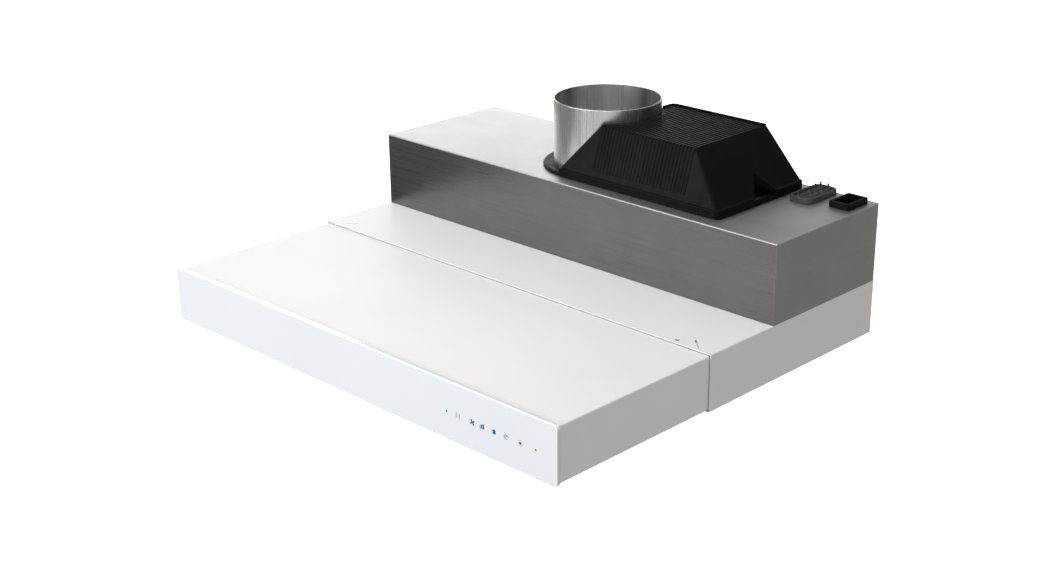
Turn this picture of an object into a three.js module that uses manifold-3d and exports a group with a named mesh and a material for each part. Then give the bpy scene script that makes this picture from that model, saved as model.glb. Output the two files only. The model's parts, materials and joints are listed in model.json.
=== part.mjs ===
// Telescopic kitchen cooker hood: a white slide-out drawer with a glass touch front, a white rear
// shell that goes under a wall cabinet, and a stainless plenum box with a duct collar, a motor-driven
// damper and an electronics bay. Millimetres, +Z up, the glass front faces -Y.
// Inside the model, y = 0 is the outer face of the glass; the group at the end moves the origin to
// the middle of the whole hood's footprint.
import * as THREE from "three";
import { mergeVertices } from "three/addons/utils/BufferGeometryUtils.js";
import Module from "manifold-3d";

const wasm = await Module();
wasm.setup();

// ---------------------------------------------------------------- driving dimensions
const WIDTH = 598; // a hood for a 600 mm cabinet
const SHELL_HEIGHT = 63;
const REACH = 221; // how far the drawer stands out of the rear shell
const SHELL_DEPTH = 286;
const BOX_SETBACK = 102; // ledge in front of the plenum box
const BOX_HEIGHT = 89;
const SHEET = 1; // steel sheet
const GAP = 0.3; // left between two pieces that touch
const SLIP = 1; // running clearance of the drawer

const SIDE = WIDTH / 2;
const DEPTH = REACH + SHELL_DEPTH;
const BOX_FRONT = REACH + BOX_SETBACK;
const BOX_TOP = SHELL_HEIGHT + BOX_HEIGHT;
const DECK_TOP = SHELL_HEIGHT - GAP; // the shell's top under the plenum box

// Filter opening in the deck, and the two grease filter cassettes that close it
const OPENING = { x: [-279, 201], y: [334, 499] };
const FILTERS = { left: [-276, -41], right: [-37, 198] };
const FILTER_Y = [336.5, 497];
const FILTER_Z = [64, 73];
const FILTER_BAR = 12;
const FILTER_FRONT_BAR = 24;
const HINGE = { y: 493.5, z: 68.5, rod: 1.5, bore: 1.8 };

// Drawer
const DRAWER_SIDE = SIDE - SHEET - SLIP;
const DRAWER_Z = [1.8, 60.8];
const DRAWER_FRONT = 6.5;
const DRAWER_BACK = 246;
const GLASS = { thickness: 5, corner: 5 };
const PAN = { half: 280, y: [18.5, 105] };
const LAMP = { half: 180, y: [46, 74] };
// The rails start behind the place that the front carrier reaches when the drawer is in.
const RAIL = { inner: 281, outer: 290, z: [18, 34], y: [REACH + 13, 500], sheet: 1.5 };
const RUNNER = { x: [284, 295.7], z: [20.5, 31.5], y: [60, 286] };

// Duct collar and damper
const COLLAR = { x: -15.5, y: 416.5, r: 62.5, wall: 1, top: BOX_TOP + 80, foot: 70 };
const FLANGE = { r: 75, height: 4 };
const SHAFT = { z: 165, r: 4, x: [-88, 94] };
const FLAP = { r: 60.5, z: [159.2, 160.4] };
const SEAL = { r: [54, 60.6], z: [157.6, 158.9] };
const BUSH = { r: 7, bore: 4.2, length: 9, collar: 8 };
const GEAR_MODULE = 1;
const GEAR_TEETH = 20;
const PINION_TEETH = 12;
const GEAR_X = [76, 84];
const PINION_Z = SHAFT.z + (GEAR_MODULE * (GEAR_TEETH + PINION_TEETH)) / 2;
const BRACKET_X = [88, 89.5];
const MOTOR = { x: [89.9, 113], r: 21, z: 191 };

// Actuator cover: a vertical skirt under four sloping walls
const COVER_WALL = 2.2;
const SKIRT = { x: [-26, 209], y: [340, 496], corner: 8, top: BOX_TOP + 10 };
const SLOPE_FOOT = { x: [-23, 206], y: [342, 494] };
const SLOPE_HEAD = { x: [25, 161], y: [360, 486] };
const COVER_TOP = BOX_TOP + 65;
const NOTCH = { tip: 189.7, mouth: 214, y: 425.8, half: 14.4 };

// Electronics bay and its connections
const PARTITION_X = 208;
const GLAND = { x: [219, 249], y: [448, 505.5], corner: 9, floor: BOX_TOP + 3, top: BOX_TOP + 6.6 };
const INLET = { x: [265, 291], y: [460, 498], top: BOX_TOP + 7, rim: 4, bottom: BOX_TOP - 26 };
const BOARD = { x: [214, 292], y: [330, 440], z: 70, thickness: 1.6 };

const ROUND = 72; // facets of a large round piece
const SMALL_ROUND = 24;

// ---------------------------------------------------------------- materials
function material(color, roughness, metalness) {
  return new THREE.MeshStandardMaterial({ color, roughness, metalness });
}

const WHITE_PAINT = material(0xecebe8, 0.45, 0);
const STAINLESS = material(0x9a9896, 0.32, 1);
const GALVANISED = material(0xb4b7ba, 0.4, 1);
const WHITE_GLASS = material(0xf4f8fc, 0.05, 0);
const BLACK_PLASTIC = material(0x17171a, 0.45, 0);
const GREY_RUBBER = material(0x4a4b4e, 0.7, 0);
const BLACK_RUBBER = material(0x1c1c1c, 0.8, 0);
const WHITE_PLASTIC = material(0xe4e4e0, 0.5, 0);
const CIRCUIT_BOARD = material(0x1f5a38, 0.5, 0);
const FILTER_MESH = material(0xc3c6c8, 0.45, 1);
const BRASS = material(0xc8a858, 0.3, 1);
const LENS = material(0xf6f4ec, 0.35, 0);

// ---------------------------------------------------------------- shape helpers
function box(x, y, z) {
  const geometry = new THREE.BoxGeometry(x[1] - x[0], y[1] - y[0], z[1] - z[0]);
  return geometry.translate((x[0] + x[1]) / 2, (y[0] + y[1]) / 2, (z[0] + z[1]) / 2);
}

// A box whose lower and upper rectangles differ, so its walls slope.
function frustum(foot, head, z) {
  const geometry = new THREE.BoxGeometry(1, 1, 1);
  const position = geometry.getAttribute("position");
  for (let i = 0; i < position.count; i++) {
    const upper = position.getZ(i) > 0;
    const outline = upper ? head : foot;
    const x = outline.x[position.getX(i) > 0 ? 1 : 0];
    const y = outline.y[position.getY(i) > 0 ? 1 : 0];
    position.setXYZ(i, x, y, z[upper ? 1 : 0]);
  }
  return geometry;
}

function roundedOutline(x, y, r) {
  const shape = new THREE.Shape();
  shape.absarc(x[1] - r, y[0] + r, r, -Math.PI / 2, 0);
  shape.absarc(x[1] - r, y[1] - r, r, 0, Math.PI / 2);
  shape.absarc(x[0] + r, y[1] - r, r, Math.PI / 2, Math.PI);
  shape.absarc(x[0] + r, y[0] + r, r, Math.PI, Math.PI * 1.5);
  shape.closePath();
  return shape;
}

function upright(shape, z, curveSegments = 6) {
  const options = { depth: z[1] - z[0], bevelEnabled: false, curveSegments };
  return new THREE.ExtrudeGeometry(shape, options).translate(0, 0, z[0]);
}

function roundedBox(x, y, z, r) {
  return upright(roundedOutline(x, y, r), z);
}

// A prism along X whose section is drawn with y to the right and z up.
function alongX(shape, x) {
  const geometry = new THREE.ExtrudeGeometry(shape, { depth: x[1] - x[0], bevelEnabled: false });
  const turn = new THREE.Matrix4().makeBasis(
    new THREE.Vector3(0, 1, 0),
    new THREE.Vector3(0, 0, 1),
    new THREE.Vector3(1, 0, 0),
  );
  return geometry.applyMatrix4(turn).translate(x[0], 0, 0);
}

function postZ(x, y, z, r, rTop = r, segments = SMALL_ROUND) {
  const geometry = new THREE.CylinderGeometry(rTop, r, z[1] - z[0], segments);
  return geometry.rotateX(Math.PI / 2).translate(x, y, (z[0] + z[1]) / 2);
}

function rodX(x, y, z, r, segments = SMALL_ROUND) {
  const geometry = new THREE.CylinderGeometry(r, r, x[1] - x[0], segments);
  return geometry.rotateZ(-Math.PI / 2).translate((x[0] + x[1]) / 2, y, z);
}

// A body of revolution about the vertical line through (x, y).  The profile is a closed list of
// [radius, z] that goes up its inner side and down its outer side.
function turned(profile, x, y, segments = ROUND) {
  const points = profile.map(([r, z]) => new THREE.Vector2(r, z)).reverse();
  points.push(points[0].clone());
  return new THREE.LatheGeometry(points, segments).rotateX(Math.PI / 2).translate(x, y, 0);
}

function solid(geometry) {
  const plain = geometry.clone();
  plain.deleteAttribute("normal");
  plain.deleteAttribute("uv");
  const merged = mergeVertices(plain, 1e-3);
  const made = new wasm.Manifold(
    new wasm.Mesh({
      numProp: 3,
      vertProperties: new Float32Array(merged.getAttribute("position").array),
      triVerts: new Uint32Array(merged.getIndex().array),
    }),
  );
  return made;
}

function surface(manifold) {
  const mesh = manifold.getMesh();
  const geometry = new THREE.BufferGeometry();
  geometry.setAttribute("position", new THREE.BufferAttribute(mesh.vertProperties, 3));
  geometry.setIndex(new THREE.BufferAttribute(mesh.triVerts, 1));
  geometry.computeVertexNormals();
  return geometry;
}

function join(...geometries) {
  return surface(geometries.map(solid).reduce((whole, piece) => whole.add(piece)));
}

function cut(geometry, ...tools) {
  return surface(tools.map(solid).reduce((rest, tool) => rest.subtract(tool), solid(geometry)));
}

// A flat ring of rectangular section.
function ring(rIn, rOut, z, x, y, segments = ROUND) {
  const profile = [
    [rIn, z[0]],
    [rIn, z[1]],
    [rOut, z[1]],
    [rOut, z[0]],
  ];
  return turned(profile, x, y, segments);
}

const hood = new THREE.Group();

function part(name, geometry, finish) {
  const mesh = new THREE.Mesh(geometry, finish);
  mesh.name = name;
  hood.add(mesh);
}

// A piece drawn on the +X side, and its mirror image on the -X side.
function pair(name, make, finish) {
  part(`${name}_right`, make(1), finish);
  part(`${name}_left`, make(-1), finish);
}

// The range [a, b] on the +X side, or its mirror image for side -1.
function onSide(side, [a, b]) {
  return side > 0 ? [a, b] : [-b, -a];
}

// ---------------------------------------------------------------- rear shell and plenum box
function rearShell() {
  const half = [-SIDE, SIDE];
  const inside = [-SIDE + SHEET, SIDE - SHEET];
  const wrap = join(
    box(half, [REACH, BOX_FRONT], [0, SHELL_HEIGHT]),
    box(half, [BOX_FRONT, DEPTH], [0, DECK_TOP]),
  );
  const hollow = cut(
    wrap,
    box(inside, [REACH - 1, BOX_FRONT], [SHEET, SHELL_HEIGHT - SHEET]),
    box(inside, [BOX_FRONT - 1, DEPTH + 1], [SHEET, DECK_TOP - SHEET]),
  );
  const bottomWindow = box([-PAN.half, PAN.half], [REACH + 10, DEPTH - 19], [-1, SHEET + 1]);
  const deckWindow = box(OPENING.x, OPENING.y, [DECK_TOP - 5, DECK_TOP + 5]);
  const fixingHole = postZ(250, REACH + 7, [SHELL_HEIGHT - 5, SHELL_HEIGHT + 5], 2.5);
  return cut(hollow, bottomWindow, deckWindow, fixingHole, stopSlot(1), stopSlot(-1));
}

// The slanting slit beside each drawer stop, wider at its rear end.
function stopSlot(side) {
  const rear = new THREE.Vector2(side * 264, REACH + 19);
  const front = new THREE.Vector2(side * 281, REACH + 3);
  const across = new THREE.Vector2(front.y - rear.y, rear.x - front.x).normalize();
  const corner = (end, width) => end.clone().addScaledVector(across, width);
  const outline = [corner(rear, 1.2), corner(rear, -1.2), corner(front, -0.4), corner(front, 0.4)];
  return upright(new THREE.Shape(outline), [SHELL_HEIGHT - 5, SHELL_HEIGHT + 5]);
}

function backPanel() {
  const half = SIDE - SHEET - GAP;
  return box([-half, half], [DEPTH - SHEET, DEPTH], [SHEET + GAP, DECK_TOP - SHEET - GAP]);
}

function plenumBox() {
  const outer = box([-SIDE, SIDE], [BOX_FRONT, DEPTH], [SHELL_HEIGHT, BOX_TOP]);
  const inner = box(
    [-SIDE + SHEET, SIDE - SHEET],
    [BOX_FRONT + SHEET, DEPTH - SHEET],
    [SHELL_HEIGHT - 1, BOX_TOP - SHEET],
  );
  const through = [BOX_TOP - 5, BOX_TOP + 5];
  const collarHole = postZ(COLLAR.x, COLLAR.y, through, COLLAR.r + GAP, COLLAR.r + GAP, ROUND);
  const glandHole = roundedBox([222, 246], [451, 502.5], through, 6);
  const inletHole = box([267, 289], [462, 496], through);
  const screwHoles = BRACKET_SCREWS.map(([x, y]) => postZ(x, y, through, 2.2));
  return cut(outer, inner, collarHole, glandHole, inletHole, ...screwHoles);
}

function bayPartition() {
  const y = [BOX_FRONT + SHEET + GAP, DEPTH - SHEET - GAP];
  return box([PARTITION_X, PARTITION_X + SHEET], y, [SHELL_HEIGHT, BOX_TOP - SHEET - GAP]);
}

// Frame on the deck round the filter opening, with three lugs that hold the hinge rod.
function intakeFrame() {
  const x = [-SIDE + SHEET + GAP, PARTITION_X - GAP];
  const y = [BOX_FRONT + SHEET + GAP, DEPTH - SHEET - GAP];
  const plate = box(x, y, [SHELL_HEIGHT, SHELL_HEIGHT + 1.5]);
  const window = box(OPENING.x, OPENING.y, [SHELL_HEIGHT - 5, SHELL_HEIGHT + 5]);
  const lugStarts = [OPENING.x[0], FILTERS.left[1] + 0.8, FILTERS.right[1] + 0.6];
  const lugs = lugStarts.map((x0) => box([x0, x0 + 2.4], [489, 503], [SHELL_HEIGHT, 72.5]));
  return cut(
    join(cut(plate, window), ...lugs),
    rodX([-290, 207], HINGE.y, HINGE.z, HINGE.bore, SMALL_ROUND),
  );
}

function filterMagnet(x) {
  const middle = (x[0] + x[1]) / 2;
  return box([middle - 12, middle + 12], [BOX_FRONT + 2.5, 335.9], [SHELL_HEIGHT + 1.8, 71]);
}

// ---------------------------------------------------------------- grease filters
function filterFrame(x) {
  const window = box(
    [x[0] + FILTER_BAR, x[1] - FILTER_BAR],
    [FILTER_Y[0] + FILTER_FRONT_BAR, FILTER_Y[1] - FILTER_BAR],
    [FILTER_Z[0] - 1, FILTER_Z[1] + 1],
  );
  const middle = (x[0] + x[1]) / 2;
  const fingerPocket = box([middle - 28, middle + 28], [342, 356], [FILTER_Z[0] - 1, 70]);
  const rodBore = rodX([x[0] - 1, x[1] + 1], HINGE.y, HINGE.z, HINGE.bore);
  return cut(box(x, FILTER_Y, FILTER_Z), window, fingerPocket, rodBore);
}

function filterMesh(x) {
  const inset = FILTER_BAR + GAP;
  const y = [FILTER_Y[0] + FILTER_FRONT_BAR + GAP, FILTER_Y[1] - inset];
  return box([x[0] + inset, x[1] - inset], y, [FILTER_Z[0] + 2.5, FILTER_Z[1] - 2.5]);
}

function filterGrip(x) {
  const middle = (x[0] + x[1]) / 2;
  return box([middle - 27.7, middle + 27.7], [342.3, 346], [FILTER_Z[0] + 0.2, 67]);
}

// ---------------------------------------------------------------- drawer
function drawerShell() {
  const outer = box([-DRAWER_SIDE, DRAWER_SIDE], [DRAWER_FRONT, DRAWER_BACK], DRAWER_Z);
  const inner = box(
    [-DRAWER_SIDE + SHEET, DRAWER_SIDE - SHEET],
    [DRAWER_FRONT - 1, DRAWER_BACK + 1],
    [DRAWER_Z[0] + SHEET, DRAWER_Z[1] - SHEET],
  );
  const lip = DRAWER_SIDE - 6;
  const underside = box([-lip, lip], [DRAWER_FRONT - 1, DRAWER_BACK + 1], [0, DRAWER_Z[0] + 2]);
  const hem = box(
    [-DRAWER_SIDE + 0.5, DRAWER_SIDE - 0.5],
    [DRAWER_BACK - SHEET, DRAWER_BACK],
    [DRAWER_Z[1] - 9, DRAWER_Z[1] - 0.5],
  );
  return join(cut(outer, inner, underside), hem);
}

function glassFront() {
  const slab = roundedBox([-SIDE, SIDE], [0, SHELL_HEIGHT], [0, GLASS.thickness], GLASS.corner);
  return slab.rotateX(Math.PI / 2).translate(0, GLASS.thickness, 0);
}

function glassGasket() {
  const y = [GLASS.thickness + GAP, DRAWER_FRONT - 0.1];
  return cut(
    box([-292, 292], y, [5, 58]),
    box([-284, 284], [0, 10], [13, 50]),
  );
}

// Steel tray behind the glass, with a window for the touch board.
function frontCarrier() {
  const half = DRAWER_SIDE - SHEET - GAP;
  const z = [DRAWER_Z[0] + SHEET + GAP, DRAWER_Z[1] - SHEET - GAP];
  const tray = box([-half, half], [DRAWER_FRONT + 0.2, 18], z);
  const hollow = box([-half + 1.2, half - 1.2], [8, 19], [z[0] + 1.2, z[1] - 1.2]);
  const touchWindow = box([142, 282], [0, 12], [19, 42]);
  return cut(tray, hollow, touchWindow);
}

function touchBoard() {
  return box([136, 288], [8.3, 9.9], [12, 50]);
}

// Tray that closes the front of the drawer's underside and carries the lamp.
function drawerPan() {
  const outer = box([-PAN.half, PAN.half], PAN.y, [DRAWER_Z[0], DRAWER_Z[1] - SHEET - GAP]);
  const inner = box(
    [-PAN.half + SHEET, PAN.half - SHEET],
    [PAN.y[0] + SHEET, PAN.y[1] - SHEET],
    [DRAWER_Z[0] + SHEET, DRAWER_Z[1]],
  );
  const lampSlot = box([-LAMP.half, LAMP.half], LAMP.y, [0, DRAWER_Z[0] + 3]);
  return cut(outer, inner, lampSlot);
}

function lampHousing() {
  const half = LAMP.half + 6;
  const y = [LAMP.y[0] - 6, LAMP.y[1] + 6];
  const z = [DRAWER_Z[0] + SHEET + GAP, 20];
  const hollow = box(
    [-LAMP.half - 1, LAMP.half + 1],
    [LAMP.y[0] - 1, LAMP.y[1] + 1],
    [z[0] - 1, z[1] - 1.5],
  );
  return cut(box([-half, half], y, z), hollow);
}

function lampLens() {
  const half = LAMP.half - GAP;
  return box([-half, half], [LAMP.y[0] + GAP, LAMP.y[1] - GAP], [DRAWER_Z[0] + 0.2, 6]);
}

function ledBoard() {
  return box([-LAMP.half + 4, LAMP.half - 4], [LAMP.y[0] + 4, LAMP.y[1] - 4], [16.4, 18.2]);
}

// C-shaped rail on the shell's bottom lip, open towards the drawer's side wall.
function rail(side) {
  const outer = box(onSide(side, [RAIL.inner, RAIL.outer]), RAIL.y, RAIL.z);
  const channel = box(
    onSide(side, [RAIL.inner + RAIL.sheet, RAIL.outer + 1]),
    [RAIL.y[0] - 1, RAIL.y[1] + 1],
    [RAIL.z[0] + RAIL.sheet, RAIL.z[1] - RAIL.sheet],
  );
  const leg = box(
    onSide(side, [RAIL.inner, RAIL.inner + RAIL.sheet]),
    RAIL.y,
    [SHEET + GAP, RAIL.z[0] + RAIL.sheet],
  );
  const foot = box(
    onSide(side, [RAIL.inner, RAIL.outer]),
    RAIL.y,
    [SHEET + GAP, SHEET + GAP + RAIL.sheet],
  );
  return join(cut(outer, channel), leg, foot);
}

function runner(side) {
  return box(onSide(side, RUNNER.x), RUNNER.y, RUNNER.z);
}

// ---------------------------------------------------------------- duct collar and damper
function ductCollar() {
  const rIn = COLLAR.r - COLLAR.wall;
  const bottom = BOX_TOP - 11;
  const footTop = BOX_TOP - SHEET - GAP;
  const profile = [
    [rIn, bottom],
    [rIn, COLLAR.top],
    [COLLAR.r, COLLAR.top],
    [COLLAR.r, footTop],
    [COLLAR.foot, footTop],
    [COLLAR.foot, footTop - 1],
    [COLLAR.r, footTop - 1],
    [COLLAR.r, bottom],
  ];
  const tube = turned(profile, COLLAR.x, COLLAR.y);
  const reach = COLLAR.r + 10;
  const bushBore = rodX(
    [COLLAR.x - reach, COLLAR.x + reach],
    COLLAR.y,
    SHAFT.z,
    BUSH.r + GAP,
  );
  return cut(tube, bushBore);
}

// Black plastic ring round the collar's foot, with a chamfered upper edge.
function collarFlange() {
  const z = BOX_TOP + GAP;
  const profile = [
    [COLLAR.r + GAP, z],
    [COLLAR.r + GAP, z + FLANGE.height],
    [FLANGE.r - 1.5, z + FLANGE.height],
    [FLANGE.r, z + FLANGE.height - 1.5],
    [FLANGE.r, z],
  ];
  return turned(profile, COLLAR.x, COLLAR.y);
}

// Flanged bearing bush through the collar's wall.
function damperBush(side) {
  const inner = COLLAR.r - COLLAR.wall + 0.1;
  const across = (range) => onSide(side, range).map((v) => v + COLLAR.x);
  const barrel = rodX(across([inner, inner + BUSH.length]), COLLAR.y, SHAFT.z, BUSH.r);
  const collar = rodX(across([COLLAR.r + GAP, COLLAR.r + 3]), COLLAR.y, SHAFT.z, BUSH.collar);
  const bore = rodX(across([inner - 5, inner + BUSH.length + 5]), COLLAR.y, SHAFT.z, BUSH.bore);
  return cut(join(barrel, collar), bore);
}

// Round plate with two saddles that grip the shaft.
function damperFlap() {
  const disc = postZ(COLLAR.x, COLLAR.y, FLAP.z, FLAP.r, FLAP.r, ROUND);
  const saddle = (x) => {
    const y = [COLLAR.y - 7, COLLAR.y + 7];
    return box([COLLAR.x + x - 6, COLLAR.x + x + 6], y, [FLAP.z[0] + 0.6, SHAFT.z + 6]);
  };
  const bore = rodX([COLLAR.x - 50, COLLAR.x + 50], COLLAR.y, SHAFT.z, SHAFT.r + GAP);
  return cut(join(disc, saddle(-32), saddle(32)), bore);
}

function involute(angle) {
  return Math.tan(angle) - angle;
}

// Spur gear outline: involute flanks at a 20 degree pressure angle, short addendum, a tooth
// centred at the given angle, drawn with y to the right and z up.
function gearShape(teeth, firstTooth, centreZ) {
  const pressure = Math.PI / 9;
  const backlash = 0.12;
  const pitch = (GEAR_MODULE * teeth) / 2;
  const base = pitch * Math.cos(pressure);
  const tip = pitch + 0.8 * GEAR_MODULE;
  const root = pitch - 1.15 * GEAR_MODULE;
  const halfAtPitch = Math.PI / (2 * teeth) - backlash / pitch;
  const halfAngle = (r) => {
    const flank = r > base ? involute(Math.acos(base / r)) : 0;
    return halfAtPitch + involute(pressure) - flank;
  };
  const radii = [root, Math.max(base, root + 0.1), pitch, tip];
  const points = [];
  for (let tooth = 0; tooth < teeth; tooth++) {
    const centre = firstTooth + (tooth * 2 * Math.PI) / teeth;
    const rising = radii.map((r) => [r, centre - halfAngle(r)]);
    const falling = radii.map((r) => [r, centre + halfAngle(r)]).reverse();
    for (const [r, angle] of [...rising, ...falling])
      points.push(
        new THREE.Vector2(COLLAR.y + r * Math.cos(angle), centreZ + r * Math.sin(angle)),
      );
  }
  return new THREE.Shape(points);
}

function drivenGear() {
  const wheel = alongX(gearShape(GEAR_TEETH, Math.PI / 2, SHAFT.z), GEAR_X);
  return cut(wheel, rodX([GEAR_X[0] - 1, GEAR_X[1] + 1], COLLAR.y, SHAFT.z, SHAFT.r + GAP));
}

// The pinion has a gap, not a tooth, towards the driven gear below it.
function motorPinion() {
  const firstTooth = -Math.PI / 2 + Math.PI / PINION_TEETH;
  const wheel = alongX(gearShape(PINION_TEETH, firstTooth, PINION_Z), [GEAR_X[0] - 1, GEAR_X[1] + 1]);
  return join(wheel, rodX([GEAR_X[0] - 3, MOTOR.x[0] - 0.1], COLLAR.y, PINION_Z, 3));
}

const BRACKET_SCREWS = [
  [106, COLLAR.y - 16],
  [106, COLLAR.y + 16],
];

// Angle bracket: an upright plate that holds the motor, and a foot on the plenum box.
function actuatorBracket() {
  const y = [COLLAR.y - 24, COLLAR.y + 24];
  const foot = box([BRACKET_X[0], 120], y, [BOX_TOP + GAP, BOX_TOP + GAP + 1.5]);
  const plate = box(BRACKET_X, y, [BOX_TOP + GAP, 212]);
  const span = [BRACKET_X[0] - 1, BRACKET_X[1] + 1];
  const screwHoles = BRACKET_SCREWS.map(([x, y0]) => postZ(x, y0, [BOX_TOP - 1, BOX_TOP + 4], 2.2));
  return cut(
    join(foot, plate),
    rodX(span, COLLAR.y, PINION_Z, 3.5),
    rodX(span, COLLAR.y, SHAFT.z, SHAFT.r + GAP),
    ...screwHoles,
  );
}

function bracketScrew([x, y]) {
  const seat = BOX_TOP + GAP + 1.5 + GAP;
  const shank = postZ(x, y, [BOX_TOP - 6, seat + 0.5], 1.8);
  return join(shank, postZ(x, y, [seat, seat + 2.4], 3.6, 2.8));
}

// Geared synchronous motor: a round can, with its output shaft below the can's middle.
function actuatorMotor() {
  const can = rodX(MOTOR.x, COLLAR.y, MOTOR.z, MOTOR.r, 48);
  const terminalBox = box([MOTOR.x[0] + 6, MOTOR.x[1]], [COLLAR.y + 10, COLLAR.y + 27], [182, 200]);
  return join(can, terminalBox);
}

function inset(outline, by) {
  return {
    x: [outline.x[0] + by, outline.x[1] - by],
    y: [outline.y[0] + by, outline.y[1] - by],
  };
}

// Upright wedge of the V notch where the actuator's lead comes out; grow thickens it all round.
function notchWedge(grow, z) {
  const outline = [
    new THREE.Vector2(NOTCH.tip - 1.8 * grow, NOTCH.y),
    new THREE.Vector2(NOTCH.mouth, NOTCH.y - NOTCH.half - 1.2 * grow),
    new THREE.Vector2(NOTCH.mouth, NOTCH.y + NOTCH.half + 1.2 * grow),
  ];
  return upright(new THREE.Shape(outline), z);
}

function actuatorCover() {
  const floor = BOX_TOP + GAP;
  const outer = join(
    roundedBox(SKIRT.x, SKIRT.y, [floor, SKIRT.top], SKIRT.corner),
    frustum(SLOPE_FOOT, SLOPE_HEAD, [SKIRT.top - 0.01, COVER_TOP]),
  );
  const innerSkirt = inset(SKIRT, COVER_WALL);
  const cavity = cut(
    join(
      roundedBox(innerSkirt.x, innerSkirt.y, [floor - 1, SKIRT.top - COVER_WALL], 6),
      frustum(
        inset(SLOPE_FOOT, COVER_WALL + 0.6),
        inset(SLOPE_HEAD, COVER_WALL),
        [SKIRT.top - COVER_WALL - 0.01, COVER_TOP - COVER_WALL],
      ),
    ),
    notchWedge(COVER_WALL, [floor + 12, COVER_TOP]),
  );
  const collarRoom = COLLAR.r + 0.8;
  return cut(
    outer,
    notchWedge(0, [SKIRT.top - 4, COVER_TOP]),
    cavity,
    postZ(COLLAR.x, COLLAR.y, [floor - 1, COVER_TOP + 1], collarRoom, collarRoom, ROUND),
    postZ(COLLAR.x, COLLAR.y, [floor - 1, floor + 4.6], FLANGE.r + 0.6, FLANGE.r + 0.6, ROUND),
  );
}

// ---------------------------------------------------------------- electronics bay
function standoff(x, y) {
  return postZ(x, y, [SHELL_HEIGHT, BOARD.z - GAP], 3, 3, 12);
}

function controlBoard() {
  return box(BOARD.x, BOARD.y, [BOARD.z, BOARD.z + BOARD.thickness]);
}

function onBoard(x, y, height) {
  const z = BOARD.z + BOARD.thickness + GAP;
  return box(x, y, [z, z + height]);
}

// Rubber entry plate: a rounded rim round a sunk membrane with nipples of several sizes.
function cableGland() {
  const seat = BOX_TOP + GAP;
  const rim = upright(roundedOutline(GLAND.x, GLAND.y, GLAND.corner), [seat, GLAND.top]);
  const sunk = inset(GLAND, 3.2);
  const pocket = roundedBox(sunk.x, sunk.y, [GLAND.floor, GLAND.top + 1], GLAND.corner - 3.2);
  const neck = roundedBox([222.5, 245.5], [451.5, 502], [BOX_TOP - 6, seat + 1], 5.5);
  const nipples = [];
  for (const [x, y, r] of GLAND_NIPPLES) {
    nipples.push(postZ(x, y, [GLAND.floor - 0.5, GLAND.floor + 3], r, r * 0.55, 12));
    nipples.push(postZ(x, y, [GLAND.floor, GLAND.floor + 9], 1.1, 0.8, 8));
  }
  return join(cut(join(rim, neck), pocket), ...nipples);
}

const GLAND_NIPPLES = [];
for (let row = 0; row < 5; row++)
  for (const column of [0, 1]) {
    const r = column === row % 2 ? 3.9 : 2.8;
    GLAND_NIPPLES.push([229 + 10 * column, 456.5 + 10.1 * row, r]);
  }

// Snap-in appliance inlet with a deep open socket.
function powerInlet() {
  const seat = BOX_TOP + GAP;
  const rim = box(INLET.x, INLET.y, [seat, INLET.top]);
  const body = box([267.5, 288.5], [462.5, 495.5], [INLET.bottom, seat + 1]);
  const socket = box(
    [INLET.x[0] + INLET.rim, INLET.x[1] - INLET.rim],
    [INLET.y[0] + INLET.rim, INLET.y[1] - INLET.rim],
    [INLET.bottom + 3, INLET.top + 1],
  );
  return cut(join(rim, body), socket);
}

function inletPin(y, x) {
  const z = [INLET.bottom + 3 + GAP, BOX_TOP - 4];
  return box([x - 1, x + 1], [y - 2, y + 2], z);
}

// ---------------------------------------------------------------- assembly
part("rear_shell", rearShell(), WHITE_PAINT);
part("back_panel", backPanel(), GALVANISED);
part("plenum_box", plenumBox(), STAINLESS);
part("bay_partition", bayPartition(), GALVANISED);
part("intake_frame", intakeFrame(), GALVANISED);
part("filter_hinge_rod", rodX([-280, 202], HINGE.y, HINGE.z, HINGE.rod, 12), STAINLESS);

for (const [side, x] of Object.entries(FILTERS)) {
  part(`filter_frame_${side}`, filterFrame(x), STAINLESS);
  part(`filter_mesh_${side}`, filterMesh(x), FILTER_MESH);
  part(`filter_grip_${side}`, filterGrip(x), BLACK_PLASTIC);
  part(`filter_magnet_${side}`, filterMagnet(x), GREY_RUBBER);
}

part("drawer_shell", drawerShell(), WHITE_PAINT);
part("glass_front", glassFront(), WHITE_GLASS);
part("glass_gasket", glassGasket(), BLACK_RUBBER);
part("front_carrier", frontCarrier(), GALVANISED);
part("touch_board", touchBoard(), CIRCUIT_BOARD);
part("drawer_pan", drawerPan(), WHITE_PAINT);
part("lamp_housing", lampHousing(), WHITE_PLASTIC);
part("led_board", ledBoard(), CIRCUIT_BOARD);
part("lamp_lens", lampLens(), LENS);
pair("rail", rail, GALVANISED);
pair("runner", runner, WHITE_PLASTIC);

part("duct_collar", ductCollar(), STAINLESS);
part("collar_flange", collarFlange(), BLACK_PLASTIC);
pair("damper_bush", damperBush, WHITE_PLASTIC);
part("damper_shaft", rodX(SHAFT.x, COLLAR.y, SHAFT.z, SHAFT.r), STAINLESS);
part("damper_flap", damperFlap(), GALVANISED);
part("flap_seal", ring(SEAL.r[0], SEAL.r[1], SEAL.z, COLLAR.x, COLLAR.y), BLACK_RUBBER);
part("driven_gear", drivenGear(), WHITE_PLASTIC);
part("motor_pinion", motorPinion(), BRASS);
part("actuator_bracket", actuatorBracket(), GALVANISED);
part("bracket_screw_front", bracketScrew(BRACKET_SCREWS[0]), STAINLESS);
part("bracket_screw_rear", bracketScrew(BRACKET_SCREWS[1]), STAINLESS);
part("actuator_motor", actuatorMotor(), BLACK_PLASTIC);
part("actuator_cover", actuatorCover(), BLACK_PLASTIC);

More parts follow.
